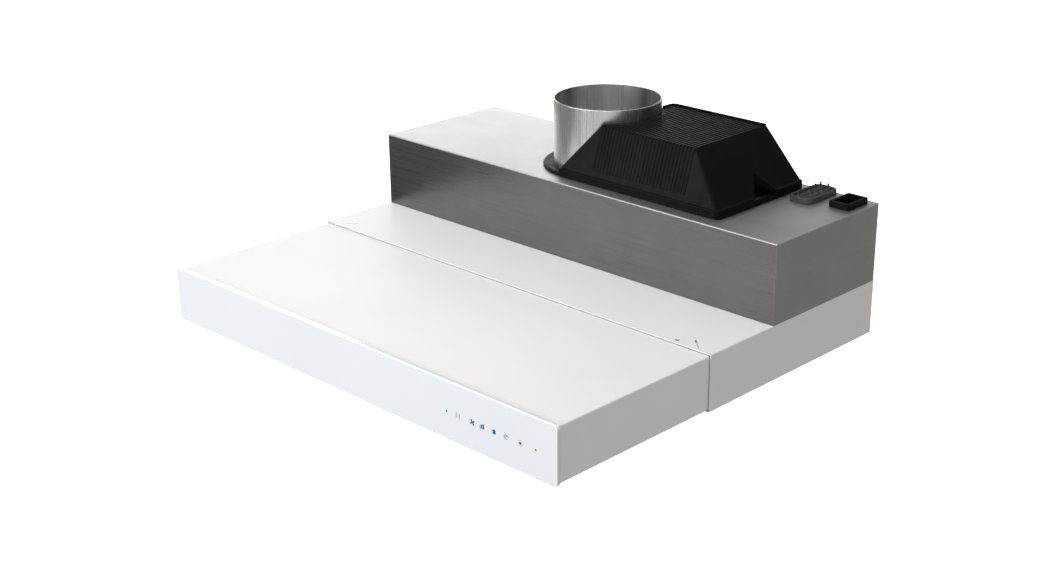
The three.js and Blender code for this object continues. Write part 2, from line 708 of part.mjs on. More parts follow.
part("control_board", controlBoard(), CIRCUIT_BOARD);
let corner = 0;
for (const x of [BOARD.x[0] + 5, BOARD.x[1] - 5])
  for (const y of [BOARD.y[0] + 5, BOARD.y[1] - 5]) {
    corner += 1;
    part(`board_standoff_${corner}`, standoff(x, y), BRASS);
  }
part("power_supply", onBoard([222, 262], [345, 400], 28), BLACK_PLASTIC);
part("relay_block", onBoard([268, 286], [345, 400], 16), WHITE_PLASTIC);
part("terminal_block", onBoard([220, 286], [416, 430], 12), GREY_RUBBER);
part("cable_gland", cableGland(), GREY_RUBBER);
part("power_inlet", powerInlet(), BLACK_PLASTIC);
part("inlet_pin_live", inletPin(472, 275), BRASS);
part("inlet_pin_neutral", inletPin(486, 275), BRASS);
part("inlet_pin_earth", inletPin(479, 281), BRASS);

hood.position.y = -DEPTH / 2;
const root = new THREE.Group();
root.add(hood);
export default root;
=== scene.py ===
"""Looks of a telescopic kitchen cooker hood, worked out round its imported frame.

The white drawer, the white rear shell, the stainless plenum box and everything on and in them are
one class each.  Lengths in the classes are millimetres; they become metres when a surface is put
into a mesh.  Places are read from the frame, as the boxes of its nodes.
"""

import json
import logging
import math
from dataclasses import dataclass
from enum import Enum
from typing import Callable

import bmesh
import bpy
import numpy as np
from mathutils import Matrix, Vector


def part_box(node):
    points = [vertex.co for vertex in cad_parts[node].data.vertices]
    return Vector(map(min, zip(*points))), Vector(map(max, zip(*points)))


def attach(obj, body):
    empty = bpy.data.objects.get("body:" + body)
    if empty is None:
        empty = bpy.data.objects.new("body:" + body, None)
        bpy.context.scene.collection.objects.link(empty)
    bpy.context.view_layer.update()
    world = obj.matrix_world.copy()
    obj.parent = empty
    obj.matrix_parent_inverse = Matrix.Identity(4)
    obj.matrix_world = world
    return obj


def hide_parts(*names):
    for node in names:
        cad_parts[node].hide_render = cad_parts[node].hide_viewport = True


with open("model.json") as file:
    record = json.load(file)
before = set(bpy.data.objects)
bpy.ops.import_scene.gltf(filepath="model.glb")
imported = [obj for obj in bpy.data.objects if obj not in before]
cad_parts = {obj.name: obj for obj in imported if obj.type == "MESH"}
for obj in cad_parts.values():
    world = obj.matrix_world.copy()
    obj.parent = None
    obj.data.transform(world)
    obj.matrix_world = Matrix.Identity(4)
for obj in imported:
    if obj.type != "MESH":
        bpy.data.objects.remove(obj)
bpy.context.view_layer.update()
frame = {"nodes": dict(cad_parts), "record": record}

MM = 0.001
log = logging.getLogger("hood")


# ------------------------------------------------------------------ places
@dataclass(frozen=True)
class Box:
    """The box of a node in the frame, in millimetres.

    Args:
        lo: Its lowest corner.
        hi: Its highest corner.
    """

    lo: np.ndarray
    hi: np.ndarray

    @classmethod
    def of(cls, node: str) -> "Box":
        """The box of the frame's node of that name."""
        lo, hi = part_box(node)
        return cls(np.array(lo) / MM, np.array(hi) / MM)

    @property
    def middle(self) -> np.ndarray:
        """The box's centre."""
        return (self.lo + self.hi) / 2

    @property
    def size(self) -> np.ndarray:
        """The box's three sides."""
        return self.hi - self.lo


class Side(Enum):
    """A side of a box: its axis, and -1 for the low end or 1 for the high end."""

    LEFT = (0, -1)
    RIGHT = (0, 1)
    FRONT = (1, -1)
    BACK = (1, 1)
    UNDER = (2, -1)
    TOP = (2, 1)


def body_with(node: str) -> str:
    """The body that the frame's node rides on."""
    bodies = frame["record"]["behaviour"]["bodies"]
    return next(body for body, nodes in bodies.items() if node in nodes)


# ------------------------------------------------------------------ surfaces as arrays
class Ends(Enum):
    """How a stack of rings ends: with flat caps, or joined last ring to first."""

    CAPPED = "capped"
    JOINED = "joined"


@dataclass
class Skin:
    """A surface as arrays.

    Args:
        points: The points, one row each, in millimetres.
        faces: The faces, each a list of point numbers.
    """

    points: np.ndarray
    faces: list[list[int]]

    def moved(self, x: float = 0.0, y: float = 0.0, z: float = 0.0) -> "Skin":
        """The same surface, moved by x, y and z."""
        return Skin(self.points + np.array([x, y, z]), self.faces)

    def facing_front(self) -> "Skin":
        """The surface turned so that what was up looks towards the front, and y becomes up."""
        x, y, z = self.points.T
        return Skin(np.stack([x, -z, y], axis=1), self.faces)

    def facing_right(self) -> "Skin":
        """The surface turned so that what was up looks towards the right, x to back and y to up."""
        x, y, z = self.points.T
        return Skin(np.stack([z, x, y], axis=1), self.faces)


def joined(skins: list[Skin]) -> Skin:
    """Several surfaces as one.

    Args:
        skins: The surfaces.

    Returns:
        One surface with all their points and faces.
    """
    starts = np.cumsum([0] + [len(skin.points) for skin in skins])
    faces = [
        [number + int(start) for number in face]
        for skin, start in zip(skins, starts)
        for face in skin.faces
    ]
    return Skin(np.concatenate([skin.points for skin in skins]), faces)


def grid_faces(rows: int, columns: int, close_rows: bool, close_columns: bool) -> np.ndarray:
    """Quads of a grid of points numbered row by row.

    Each quad joins point (i, j) to its neighbours (i, j + 1), (i + 1, j + 1) and (i + 1, j),
    counted round where the grid is closed.

    Args:
        rows: Number of rows.
        columns: Number of points in a row.
        close_rows: Whether the last row joins the first.
        close_columns: Whether the last point of a row joins its first.

    Returns:
        Point numbers, four to a quad.
    """
    row = np.arange(rows if close_rows else rows - 1)
    column = np.arange(columns if close_columns else columns - 1)
    i, j = np.meshgrid(row, column, indexing="ij")
    next_i = (i + 1) % rows
    next_j = (j + 1) % columns
    corners = [i * columns + j, i * columns + next_j, next_i * columns + next_j, next_i * columns + j]
    return np.stack(corners, axis=-1).reshape(-1, 4)


def ring_skin(rings: np.ndarray, ends: Ends) -> Skin:
    """A surface through a stack of closed rings.

    Args:
        rings: Points by ring, point and coordinate.
        ends: Flat caps, or the last ring joined to the first.

    Returns:
        The closed surface. It faces out if the rings run anticlockwise seen from the last.
    """
    count, around, _ = rings.shape
    faces = grid_faces(count, around, ends is Ends.JOINED, True).tolist()
    if ends is Ends.CAPPED:
        first = np.arange(around)[::-1]
        faces += [first.tolist(), (np.arange(around) + (count - 1) * around).tolist()]
    return Skin(rings.reshape(-1, 3), faces)


def rounded_line(
    corners: list[tuple[float, float, float]], closed: bool = True, steps: int = 4,
) -> np.ndarray:
    """A polygon or open line whose corners are arcs.

    Each corner's arc has its centre on the corner's bisector, at radius over sine of half the
    corner's angle, and touches both sides.

    Args:
        corners: First and second coordinate and radius of each corner, all above 0.
        closed: Whether the last corner joins the first; if not, both ends stay points.
        steps: Chords in each arc.

    Returns:
        The line's points, two coordinates each.
    """
    table = np.array(corners, float)
    corner, radius = table[:, :2], table[:, 2]
    before = np.roll(corner, 1, axis=0) - corner
    after = np.roll(corner, -1, axis=0) - corner
    before /= np.linalg.norm(before, axis=1, keepdims=True)
    after /= np.linalg.norm(after, axis=1, keepdims=True)
    half = np.arccos(np.clip((before * after).sum(axis=1), -1, 1)) / 2
    half = np.clip(half, 1e-3, math.pi / 2 - 1e-3)
    bisector = before + after
    bisector /= np.maximum(np.linalg.norm(bisector, axis=1, keepdims=True), 1e-9)
    centre = corner + bisector * (radius / np.sin(half))[:, None]
    reach = (radius / np.tan(half))[:, None]
    start = corner + before * reach - centre
    end = corner + after * reach - centre
    first = np.arctan2(start[:, 1], start[:, 0])
    sweep = np.arctan2(end[:, 1], end[:, 0]) - first
    sweep = (sweep + math.pi) % (2 * math.pi) - math.pi
    angle = first[:, None] + sweep[:, None] * np.linspace(0, 1, steps + 1)
    arcs = centre[:, None] + radius[:, None, None] * np.stack([np.cos(angle), np.sin(angle)], axis=-1)
    if closed:
        return arcs.reshape(-1, 2)
    return np.concatenate([corner[:1], arcs[1:-1].reshape(-1, 2), corner[-1:]])


def rectangle_rings(levels: np.ndarray, steps: int = 6) -> np.ndarray:
    """Rounded rectangles, one above the other.

    Each corner is a quarter circle: its centre lies one radius inside both sides.

    Args:
        levels: Left, right, front, back, corner radius and height of each rectangle.
        steps: Chords in each corner.

    Returns:
        Points by rectangle, point and coordinate, anticlockwise seen from above.
    """
    left, right, front, back, radius, height = (column[:, None, None] for column in levels.T)
    quarter = np.arange(4)[:, None]
    turn = (quarter - 1 + np.linspace(0, 1, steps + 1)) * math.pi / 2
    at_right = np.isin(quarter, (0, 1))
    at_back = np.isin(quarter, (1, 2))
    x = np.where(at_right, right - radius, left + radius) + radius * np.cos(turn)
    y = np.where(at_back, back - radius, front + radius) + radius * np.sin(turn)
    z = np.broadcast_to(height, x.shape)
    return np.stack([x, y, z], axis=-1).reshape(len(levels), -1, 3)


def inset_levels(outline: tuple[float, float, float, float, float], profile: np.ndarray) -> np.ndarray:
    """Levels of a rounded rectangle whose section follows a profile all round.

    Args:
        outline: Left, right, front, back and corner radius.
        profile: Inset from the outline, and height.

    Returns:
        Levels for rectangle_rings.
    """
    left, right, front, back, radius = outline
    inset, height = profile.T
    corner = np.maximum(radius - inset, 0.05)
    columns = [left + inset, right - inset, front + inset, back - inset, corner, height]
    return np.stack(columns, axis=1)


def circle_rings(profile: np.ndarray, x: float, y: float, steps: int) -> np.ndarray:
    """A profile turned about the upright line through (x, y).

    Args:
        profile: Radius and height of each ring.
        x: Where the line stands.
        y: Where the line stands.
        steps: Points round each ring.

    Returns:
        Points by ring, point and coordinate: x + r cos a, y + r sin a, height.
    """
    angle = np.linspace(0, 2 * math.pi, steps, endpoint=False)
    radius, height = profile[:, :1], profile[:, 1:]
    columns = [x + radius * np.cos(angle), y + radius * np.sin(angle), height + 0 * angle]
    return np.stack(columns, axis=-1)


def carried(section: np.ndarray, path: np.ndarray, up: tuple[float, float, float]) -> np.ndarray:
    """A closed section carried along a path.

    At each point the section's first axis is up x tangent and its second tangent x first.

    Args:
        section: The section's points, anticlockwise.
        path: The path's points.
        up: A direction that is never along the path.

    Returns:
        Points by path point, section point and coordinate.
    """
    tangent = np.gradient(path, axis=0)
    tangent /= np.linalg.norm(tangent, axis=1, keepdims=True)
    across = np.cross(np.array(up, float), tangent)
    across /= np.linalg.norm(across, axis=1, keepdims=True)
    rise = np.cross(tangent, across)
    return path[:, None] + across[:, None] * section[:, :1] + rise[:, None] * section[:, 1:]


def slab_skin(outer: np.ndarray, inner: np.ndarray) -> Skin:
    """A closed slab between two grids of points of the same shape.

    Args:
        outer: Outer grid, by row, point and coordinate.
        inner: Inner grid.

    Returns:
        The slab: each row of the outer grid goes back along the inner one, as a ring.
    """
    return ring_skin(np.concatenate([outer, inner[:, ::-1]], axis=1), Ends.CAPPED)


def prism(outline: np.ndarray, low: float, high: float) -> Skin:
    """An upright prism.

    Args:
        outline: Its outline, anticlockwise seen from above.
        low: Height of its foot.
        high: Height of its top.

    Returns:
        The closed surface.
    """
    heights = np.array([low, high])[:, None, None] * np.ones((1, len(outline), 1))
    flat = np.broadcast_to(outline, (2, *outline.shape))
    return ring_skin(np.concatenate([flat, heights], axis=-1), Ends.CAPPED)


# ------------------------------------------------------------------ from arrays to pieces
def mesh_of(skin: Skin, name: str) -> bpy.types.Mesh:
    """The surface as a mesh in metres.

    Args:
        skin: The surface, in millimetres.
        name: The mesh's name.

    Returns:
        The mesh.
    """
    mesh = bpy.data.meshes.new(name)
    mesh.from_pydata((skin.points * MM).tolist(), [], skin.faces)
    mesh.validate()
    return mesh


def object_of(mesh: bpy.types.Mesh, name: str) -> bpy.types.Object:
    """A new object that shows the mesh.

    Args:
        mesh: The mesh.
        name: The object's name.

    Returns:
        The object, at the origin.
    """
    piece = bpy.data.objects.new(name, mesh)
    bpy.context.scene.collection.objects.link(piece)
    return piece


def settled(piece: bpy.types.Object) -> None:
    """Puts the result of the piece's modifiers into its mesh.

    Args:
        piece: The piece; its modifiers are gone afterwards.
    """
    bpy.context.view_layer.update()
    view = bpy.context.evaluated_depsgraph_get()
    mesh = bpy.data.meshes.new_from_object(piece.evaluated_get(view))
    piece.modifiers.clear()
    piece.data = mesh


def shade(piece: bpy.types.Object, sharp_degrees: float = 35.0) -> None:
    """Smooth shading that keeps real edges, and lets big faces stay flat.

    Args:
        piece: The piece.
        sharp_degrees: Angle between two faces from which their edge is sharp.
    """
    mesh = piece.data
    mesh.polygons.foreach_set("use_smooth", np.ones(len(mesh.polygons), bool))
    mesh.set_sharp_from_angle(angle=math.radians(sharp_degrees))
    weighted = piece.modifiers.new("flat_faces", "WEIGHTED_NORMAL")
    weighted.keep_sharp = True
    settled(piece)


def new_piece(name: str, skin: Skin, sharp_degrees: float = 35.0) -> bpy.types.Object:
    """A piece with that surface, merged, shaded and facing out.

    Args:
        name: The piece's name.
        skin: Its surface.
        sharp_degrees: Edges that turn by more than this stay sharp.

    Returns:
        The piece.
    """
    mesh = mesh_of(skin, name)
    cleaned(mesh, 0.002)
    piece = object_of(mesh, name)
    shade(piece, sharp_degrees)
    return piece


def cleaned(mesh: bpy.types.Mesh, merge: float) -> None:
    """Merges points closer than merge millimetres and turns every face outwards.

    Args:
        mesh: The mesh.
        merge: The distance in millimetres.
    """
    work = bmesh.new()
    work.from_mesh(mesh)
    bmesh.ops.remove_doubles(work, verts=work.verts, dist=merge * MM)
    bmesh.ops.recalc_face_normals(work, faces=work.faces)
    work.to_mesh(mesh)
    work.free()


def cut_away(piece: bpy.types.Object, tools: list[Skin | bpy.types.Object]) -> None:
    """Cuts closed surfaces out of a piece.

    Args:
        piece: The piece that is cut.
        tools: What is cut away, one after the other; an object is used up.
    """
    for tool in tools:
        cutter = tool
        if isinstance(tool, Skin):
            cutter = object_of(mesh_of(tool, "tool"), "tool")
            cleaned(cutter.data, 0.002)
        cut = piece.modifiers.new("cut", "BOOLEAN")
        cut.operation = "DIFFERENCE"
        cut.solver = "EXACT"
        cut.object = cutter
        settled(piece)
        bpy.data.objects.remove(cutter)


def merged_copy(node: str, name: str, convex: bool = False) -> bpy.types.Object:
    """A new object with a clean copy of a node's mesh: points merged, flat faces joined.

    Args:
        node: The node to copy.
        name: The new object's name.
        convex: Whether flat faces are then split at their inner corners, as round a window.

    Returns:
        The new object.
    """
    work = bmesh.new()
    work.from_mesh(frame["nodes"][node].data)
    bmesh.ops.remove_doubles(work, verts=work.verts, dist=0.002 * MM)
    limit = math.radians(0.5)
    bmesh.ops.dissolve_limit(work, angle_limit=limit, verts=work.verts, edges=work.edges)
    if convex:
        bmesh.ops.connect_verts_concave(work, faces=work.faces)
    mesh = bpy.data.meshes.new(name)
    work.to_mesh(mesh)
    work.free()
    return object_of(mesh, name)


def edge_weights(
    mesh: bpy.types.Mesh, box: Box, folds: tuple[tuple[Side, Side], ...], ease: float,
) -> np.ndarray:
    """How strongly each edge is rounded.

    An edge weighs 1 where both its ends lie on both sides of a fold, ease where its two faces
    meet at more than 30 degrees, and 0 elsewhere.

    Args:
        mesh: The mesh.
        box: The node's box.
        folds: Pairs of box sides that meet in a bend.
        ease: Weight of every other sharp edge.

    Returns:
        One weight for each edge.
    """
    points = np.zeros(len(mesh.vertices) * 3)
    mesh.vertices.foreach_get("co", points)
    points = points.reshape(-1, 3) / MM
    ends = np.zeros(len(mesh.edges) * 2, int)
    mesh.edges.foreach_get("vertices", ends)
    ends = ends.reshape(-1, 2)
    work = bmesh.new()
    work.from_mesh(mesh)
    turns = np.array([edge.calc_face_angle(0.0) for edge in work.edges])
    work.free()
    weights = np.where(turns > math.radians(30), ease, 0.0)
    limits = {-1: box.lo, 1: box.hi}
    for fold in folds:
        near = np.ones(len(points), bool)
        for side in fold:
            axis, end = side.value
            near &= np.abs(points[:, axis] - limits[end][axis]) < 0.02
        weights[near[ends].all(axis=1)] = 1.0
    return weights


def round_edges(piece: bpy.types.Object, weights: np.ndarray, width: float, segments: int = 3) -> None:
    """Rounds a piece's edges by their weights, width millimetres at weight 1.

    Args:
        piece: The piece.
        weights: One weight for each edge.
        width: Width at weight 1, in millimetres.
        segments: Faces across the rounding.
    """
    mesh = piece.data
    layer = mesh.attributes.new("bevel_weight_edge", "FLOAT", "EDGE")
    layer.data.foreach_set("value", weights.astype(np.float32))
    bevel = piece.modifiers.new("rounded", "BEVEL")
    bevel.limit_method = "WEIGHT"
    bevel.width = width * MM
    bevel.segments = segments
    bevel.use_clamp_overlap = False
    settled(piece)


def mount(piece: bpy.types.Object, finish: "Finish", *nodes: str) -> bpy.types.Object:
    """Dresses a new piece, makes it ride with its nodes' body, and lets it stand for them.

    Args:
        piece: The new piece.
        finish: What it is made of.
        nodes: The nodes that it stands for; the first one names its body.

    Returns:
        The piece.
    """
    piece.data.materials.clear()
    piece.data.materials.append(finish.material())
    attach(piece, body_with(nodes[0]))
    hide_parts(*nodes)
    log.info("%s: %d faces", piece.name, len(piece.data.polygons))
    return piece


# ------------------------------------------------------------------ finishes
MADE: dict[str, bpy.types.Material] = {}


class Recipe:
    """A material's node tree, with short calls to fill it."""

    def __init__(self, name: str) -> None:
        """Starts a material with a principled shader and nothing else.

        Args:
            name: The material's name.
        """
        self.material = bpy.data.materials.new(name)
        self.material.use_nodes = True
        self.tree = self.material.node_tree
        self.tree.nodes.clear()
        self.shader = self.add("ShaderNodeBsdfPrincipled")
        output = self.add("ShaderNodeOutputMaterial")
        self.tree.links.new(self.shader.outputs["BSDF"], output.inputs["Surface"])
        self.place = self.add("ShaderNodeTexCoord")

    def add(self, kind: str, **settings: object) -> bpy.types.Node:
        """A new node of that kind with those settings.

        Args:
            kind: The node's type.
            settings: Its settings, by name.

        Returns:
            The node.
        """
        node = self.tree.nodes.new(kind)
        for name, value in settings.items():
            setattr(node, name, value)
        return node

    def set(self, **values: object) -> None:
        """Sets the shader's own sockets; an underscore in a name stands for a space."""
        for name, value in values.items():
            self.shader.inputs[name.replace("_", " ")].default_value = value

    def feed(self, source: bpy.types.NodeSocket, socket: str) -> None:
        """Links a value that varies over the surface to one of the shader's sockets."""
        self.tree.links.new(source, self.shader.inputs[socket])

    def grain(
        self, scale: tuple[float, float, float], detail: float = 2.0, rough: float = 0.5,
    ) -> bpy.types.NodeSocket:
        """Noise over the object's own coordinates.

        Args:
            scale: Noise cells per metre along X, Y and Z.
            detail: Octaves.
            rough: Strength of each finer octave.

        Returns:
            A value about 0.5.
        """
        stretch = self.add("ShaderNodeMapping")
        stretch.inputs["Scale"].default_value = scale
        noise = self.add("ShaderNodeTexNoise")
        noise.inputs["Scale"].default_value = 1.0
        noise.inputs["Detail"].default_value = detail
        noise.inputs["Roughness"].default_value = rough
        self.tree.links.new(self.place.outputs["Object"], stretch.inputs["Vector"])
        self.tree.links.new(stretch.outputs["Vector"], noise.inputs["Vector"])
        return noise.outputs[0]

    def between(self, value: bpy.types.NodeSocket, low: float, high: float) -> bpy.types.NodeSocket:
        """The value spread so that 0.3 to 0.7 becomes low to high.

        Args:
            value: The value.
            low: What 0.3 becomes.
            high: What 0.7 becomes.

        Returns:
            The spread value.
        """
        spread = self.add("ShaderNodeMapRange")
        settings = {"From Min": 0.3, "From Max": 0.7, "To Min": low, "To Max": high}
        for name, number in settings.items():
            spread.inputs[name].default_value = number
        self.tree.links.new(value, spread.inputs["Value"])
        return spread.outputs[0]

    def tones(
        self, value: bpy.types.NodeSocket, dark: tuple[float, ...], light: tuple[float, ...],
        strength: bpy.types.NodeSocket | None = None,
    ) -> None:
        """Colours the surface between two tones.

        Args:
            value: A value about 0.5: 0.3 gives the dark tone, 0.7 the light one.
            dark: The darker tone.
            light: The lighter tone.
            strength: What the colour is multiplied by.
        """
        ramp = self.add("ShaderNodeValToRGB")
        ramp.color_ramp.elements[0].position = 0.3
        ramp.color_ramp.elements[0].color = (*dark, 1.0)
        ramp.color_ramp.elements[1].position = 0.7
        ramp.color_ramp.elements[1].color = (*light, 1.0)
        self.tree.links.new(value, ramp.inputs["Fac"])
        colour = ramp.outputs["Color"]
        if strength is not None:
            product = self.add("ShaderNodeVectorMath", operation="SCALE")
            self.tree.links.new(colour, product.inputs[0])
            self.tree.links.new(strength, product.inputs["Scale"])
            colour = product.outputs[0]
        self.feed(colour, "Base Color")

    def by_facing(self, shares: tuple[float, float, float]) -> bpy.types.NodeSocket:
        """The sum of the sizes of the normal's X, Y and Z, each times its share.

        Args:
            shares: The shares of X, Y and Z.

        Returns:
            The sum.
        """
        size = self.add("ShaderNodeVectorMath", operation="ABSOLUTE")
        self.tree.links.new(self.place.outputs["Normal"], size.inputs[0])
        total = self.add("ShaderNodeVectorMath", operation="DOT_PRODUCT")
        total.inputs[1].default_value = shares
        self.tree.links.new(size.outputs[0], total.inputs[0])
        return total.outputs["Value"]

    def blend(
        self, value: bpy.types.NodeSocket, a: bpy.types.NodeSocket, b: bpy.types.NodeSocket,
    ) -> bpy.types.NodeSocket:
        """a where the value is 0, b where it is 1.

        Args:
            value: The value.
            a: What shows at 0.
            b: What shows at 1.

        Returns:
            The blended value.
        """
        mix = self.add("ShaderNodeMix", data_type="FLOAT")
        self.tree.links.new(value, mix.inputs[0])
        self.tree.links.new(a, mix.inputs[2])
        self.tree.links.new(b, mix.inputs[3])
        return mix.outputs[0]

    def bumps(self, height: bpy.types.NodeSocket, depth_mm: float, strength: float = 1.0) -> None:
        """Raises and sinks the surface by a value from 0 to 1, depth_mm millimetres in all.

        Args:
            height: The value.
            depth_mm: The whole depth in millimetres.
            strength: How strongly it shows.
        """
        bump = self.add("ShaderNodeBump")
        bump.inputs["Strength"].default_value = strength
        bump.inputs["Distance"].default_value = depth_mm * MM
        self.tree.links.new(height, bump.inputs["Height"])
        self.feed(bump.outputs["Normal"], "Normal")

    def faces_along(self, axis: int) -> bpy.types.NodeSocket:
        """1 on faces that look along an axis of the object, else 0.

        Args:
            axis: 0, 1 or 2 for X, Y or Z.

        Returns:
            The value.
        """
        split = self.add("ShaderNodeSeparateXYZ")
        self.tree.links.new(self.place.outputs["Normal"], split.inputs[0])
        size = self.add("ShaderNodeMath", operation="ABSOLUTE")
        self.tree.links.new(split.outputs[axis], size.inputs[0])
        over = self.add("ShaderNodeMath", operation="GREATER_THAN")
        over.inputs[1].default_value = 0.75
        self.tree.links.new(size.outputs[0], over.inputs[0])
        return over.outputs[0]


@dataclass(frozen=True)
class Finish:
    """What a piece is made of.

    Args:
        name: The material's name.
        slot: The record's material slot.
        dark: The darker of its two tones, linear RGB.
        light: The lighter tone.
        roughness: Lowest and highest roughness.
    """

    name: str
    slot: str
    dark: tuple[float, float, float]
    light: tuple[float, float, float]
    roughness: tuple[float, float]

    def material(self) -> bpy.types.Material:
        """The finish's material, made the first time it is asked for."""
        if self.name not in MADE:
            recipe = Recipe(self.name)
            self.fill(recipe)
            MADE[self.name] = recipe.material
        return MADE[self.name]

    def fill(self, recipe: Recipe) -> None:
        """Fills the recipe; each kind of finish has its own way."""
        raise NotImplementedError


@dataclass(frozen=True)
class Paint(Finish):
    """Baked powder paint: even colour, a fine orange-peel surface and a soft gloss.

    Args:
        peel: Depth of the orange peel in millimetres.
    """

    peel: float = 0.004

    def fill(self, recipe: Recipe) -> None:
        """Cloudy tone, orange peel of about 1.5 mm with a finer grain on it.

        Args:
            recipe: The material being filled.
        """
        recipe.tones(recipe.grain((9, 9, 9), 3), self.dark, self.light)
        recipe.feed(recipe.between(recipe.grain((60, 60, 60), 4), *self.roughness), "Roughness")
        recipe.bumps(recipe.grain((700, 700, 700), 2, 0.6), self.peel)
        recipe.set(IOR=1.5, Specular_IOR_Level=0.35, Coat_Weight=0.04, Coat_Roughness=0.25)


@dataclass(frozen=True)
class Brushed(Finish):
    """Brushed or rolled metal: fine straight lines, clouded by handling.

    Args:
        line: Length of the brush lines, as noise cells per metre.
        fineness: Lines per metre across them.
        across: Axis that the lines run along on faces that look along X, and on all others.
        depth: Depth of the lines in millimetres.
        painted_facing_shade: Painted shade: how bright faces that look along X, Y and Z are made, so that the
            front and sides come out darker than the top, as the light falls.
        satin: How rough those sheets are, as shares of the roughness.
    """

    line: float = 5.0
    fineness: float = 1600.0
    across: tuple[int, int] = (1, 0)
    depth: float = 0.004
    painted_facing_shade: tuple[float, float, float] = (1.0, 1.0, 1.0)
    satin: tuple[float, float, float] = (1.0, 1.0, 1.0)

    def scale(self, along: int) -> tuple[float, float, float]:
        """Noise cells per metre for lines along an axis."""
        return tuple(self.line if axis == along else self.fineness for axis in range(3))

    def fill(self, recipe: Recipe) -> None:
        """Lines along one axis on end faces and another elsewhere; clouds move the gloss.

        Args:
            recipe: The material being filled.
        """
        on_ends = recipe.grain(self.scale(self.across[0]), 3, 0.7)
        elsewhere = recipe.grain(self.scale(self.across[1]), 3, 0.7)
        lines = recipe.blend(recipe.faces_along(0), elsewhere, on_ends)
        clouds = recipe.grain((14, 14, 14), 4, 0.6)
        share = recipe.blend(recipe.between(clouds, 0.35, 0.65), lines, clouds)
        # painted shade: the base colour is scaled by the way each face looks
        recipe.tones(share, self.dark, self.light, recipe.by_facing(self.painted_facing_shade))
        rough = recipe.add("ShaderNodeMath", operation="MULTIPLY")
        recipe.tree.links.new(recipe.between(lines, *self.roughness), rough.inputs[0])
        recipe.tree.links.new(recipe.by_facing(self.satin), rough.inputs[1])
        recipe.feed(rough.outputs[0], "Roughness")
        recipe.bumps(lines, self.depth)
        recipe.set(Metallic=1.0)


@dataclass(frozen=True)
class Spangled(Finish):
    """Zinc-coated sheet: flat crystals some millimetres wide, each with its own grey."""

    def fill(self, recipe: Recipe) -> None:
        """Voronoi cells give each crystal a tone and a gloss.

        Args:
            recipe: The material being filled.
        """
        cells = recipe.add("ShaderNodeTexVoronoi")
        cells.inputs["Scale"].default_value = 230.0
        recipe.tree.links.new(recipe.place.outputs["Object"], cells.inputs["Vector"])
        split = recipe.add("ShaderNodeSeparateColor")
        recipe.tree.links.new(cells.outputs["Color"], split.inputs[0])
        recipe.tones(split.outputs[0], self.dark, self.light)
        recipe.feed(recipe.between(split.outputs[1], *self.roughness), "Roughness")
        recipe.bumps(recipe.grain((900, 900, 900), 2), 0.003)
        recipe.set(Metallic=1.0)


@dataclass(frozen=True)
class Moulded(Finish):
    """Moulded plastic or rubber with an eroded grain.

    Args:
        grain: Depth of the grain in millimetres.
        cells: Grain cells per metre.
        specular: Specular level, half of it for plain plastic.
    """

    grain: float = 0.02
    cells: float = 1500.0
    specular: float = 0.5

    def fill(self, recipe: Recipe) -> None:
        """Slightly uneven tone, fine eroded grain, gloss that changes with wear.

        Args:
            recipe: The material being filled.
        """
        recipe.tones(recipe.grain((25, 25, 25), 4), self.dark, self.light)
        recipe.feed(recipe.between(recipe.grain((90, 90, 90), 4), *self.roughness), "Roughness")
        recipe.bumps(recipe.grain((self.cells,) * 3, 3, 0.6), self.grain)
        recipe.set(IOR=1.5, Specular_IOR_Level=self.specular)


@dataclass(frozen=True)
class BackPaintedGlass(Finish):
    """White glass: an even coat of paint behind a clear polished sheet."""

    def fill(self, recipe: Recipe) -> None:
        """Even tone with a faint drift; the edges are greyer, partly the ground glass's own tone and partly
        painted shade that tones down the lit top edge; mirror-like coat over a satin base.

        Args:
            recipe: The material being filled.
        """
        # painted shade in part: faces that look sideways, up or down get a greyer base than the front
        edges = recipe.by_facing((0.82, 1.0, 0.86))
        recipe.tones(recipe.grain((4, 4, 4), 2), self.dark, self.light, edges)
        recipe.feed(recipe.between(recipe.grain((12, 12, 12), 3), *self.roughness), "Roughness")
        recipe.bumps(recipe.grain((15, 15, 15), 1), 0.01, 0.3)
        recipe.set(IOR=1.52, Coat_Weight=1.0, Coat_Roughness=0.015, Coat_IOR=1.52)


@dataclass(frozen=True)
class Opal(Finish):
    """Opal plastic that light gets into, with fine prism lines along it."""

    def fill(self, recipe: Recipe) -> None:
        """Lines along X every millimetre, and some light scattered below the surface.

        Args:
            recipe: The material being filled.
        """
        recipe.tones(recipe.grain((20, 20, 20), 2), self.dark, self.light)
        recipe.feed(recipe.between(recipe.grain((50, 50, 50), 2), *self.roughness), "Roughness")
        recipe.bumps(recipe.grain((1, 1200, 1200), 1), 0.04)
        recipe.set(Subsurface_Weight=0.3, Subsurface_Scale=0.003, IOR=1.49)


@dataclass(frozen=True)
class Circuit(Finish):
    """Circuit board: lacquer with copper tracks showing through it."""

    def fill(self, recipe: Recipe) -> None:
        """Square cells stand for the tracks; the lacquer is glossy over them.

        Args:
            recipe: The material being filled.
        """
        cells = recipe.add("ShaderNodeTexVoronoi", distance="CHEBYCHEV")
        cells.inputs["Scale"].default_value = 220.0
        recipe.tree.links.new(recipe.place.outputs["Object"], cells.inputs["Vector"])
        recipe.tones(cells.outputs["Distance"], self.dark, self.light)
        recipe.feed(recipe.between(recipe.grain((80, 80, 80), 2), *self.roughness), "Roughness")
        recipe.bumps(cells.outputs["Distance"], 0.03)
        recipe.set(Coat_Weight=0.5, Coat_Roughness=0.1)


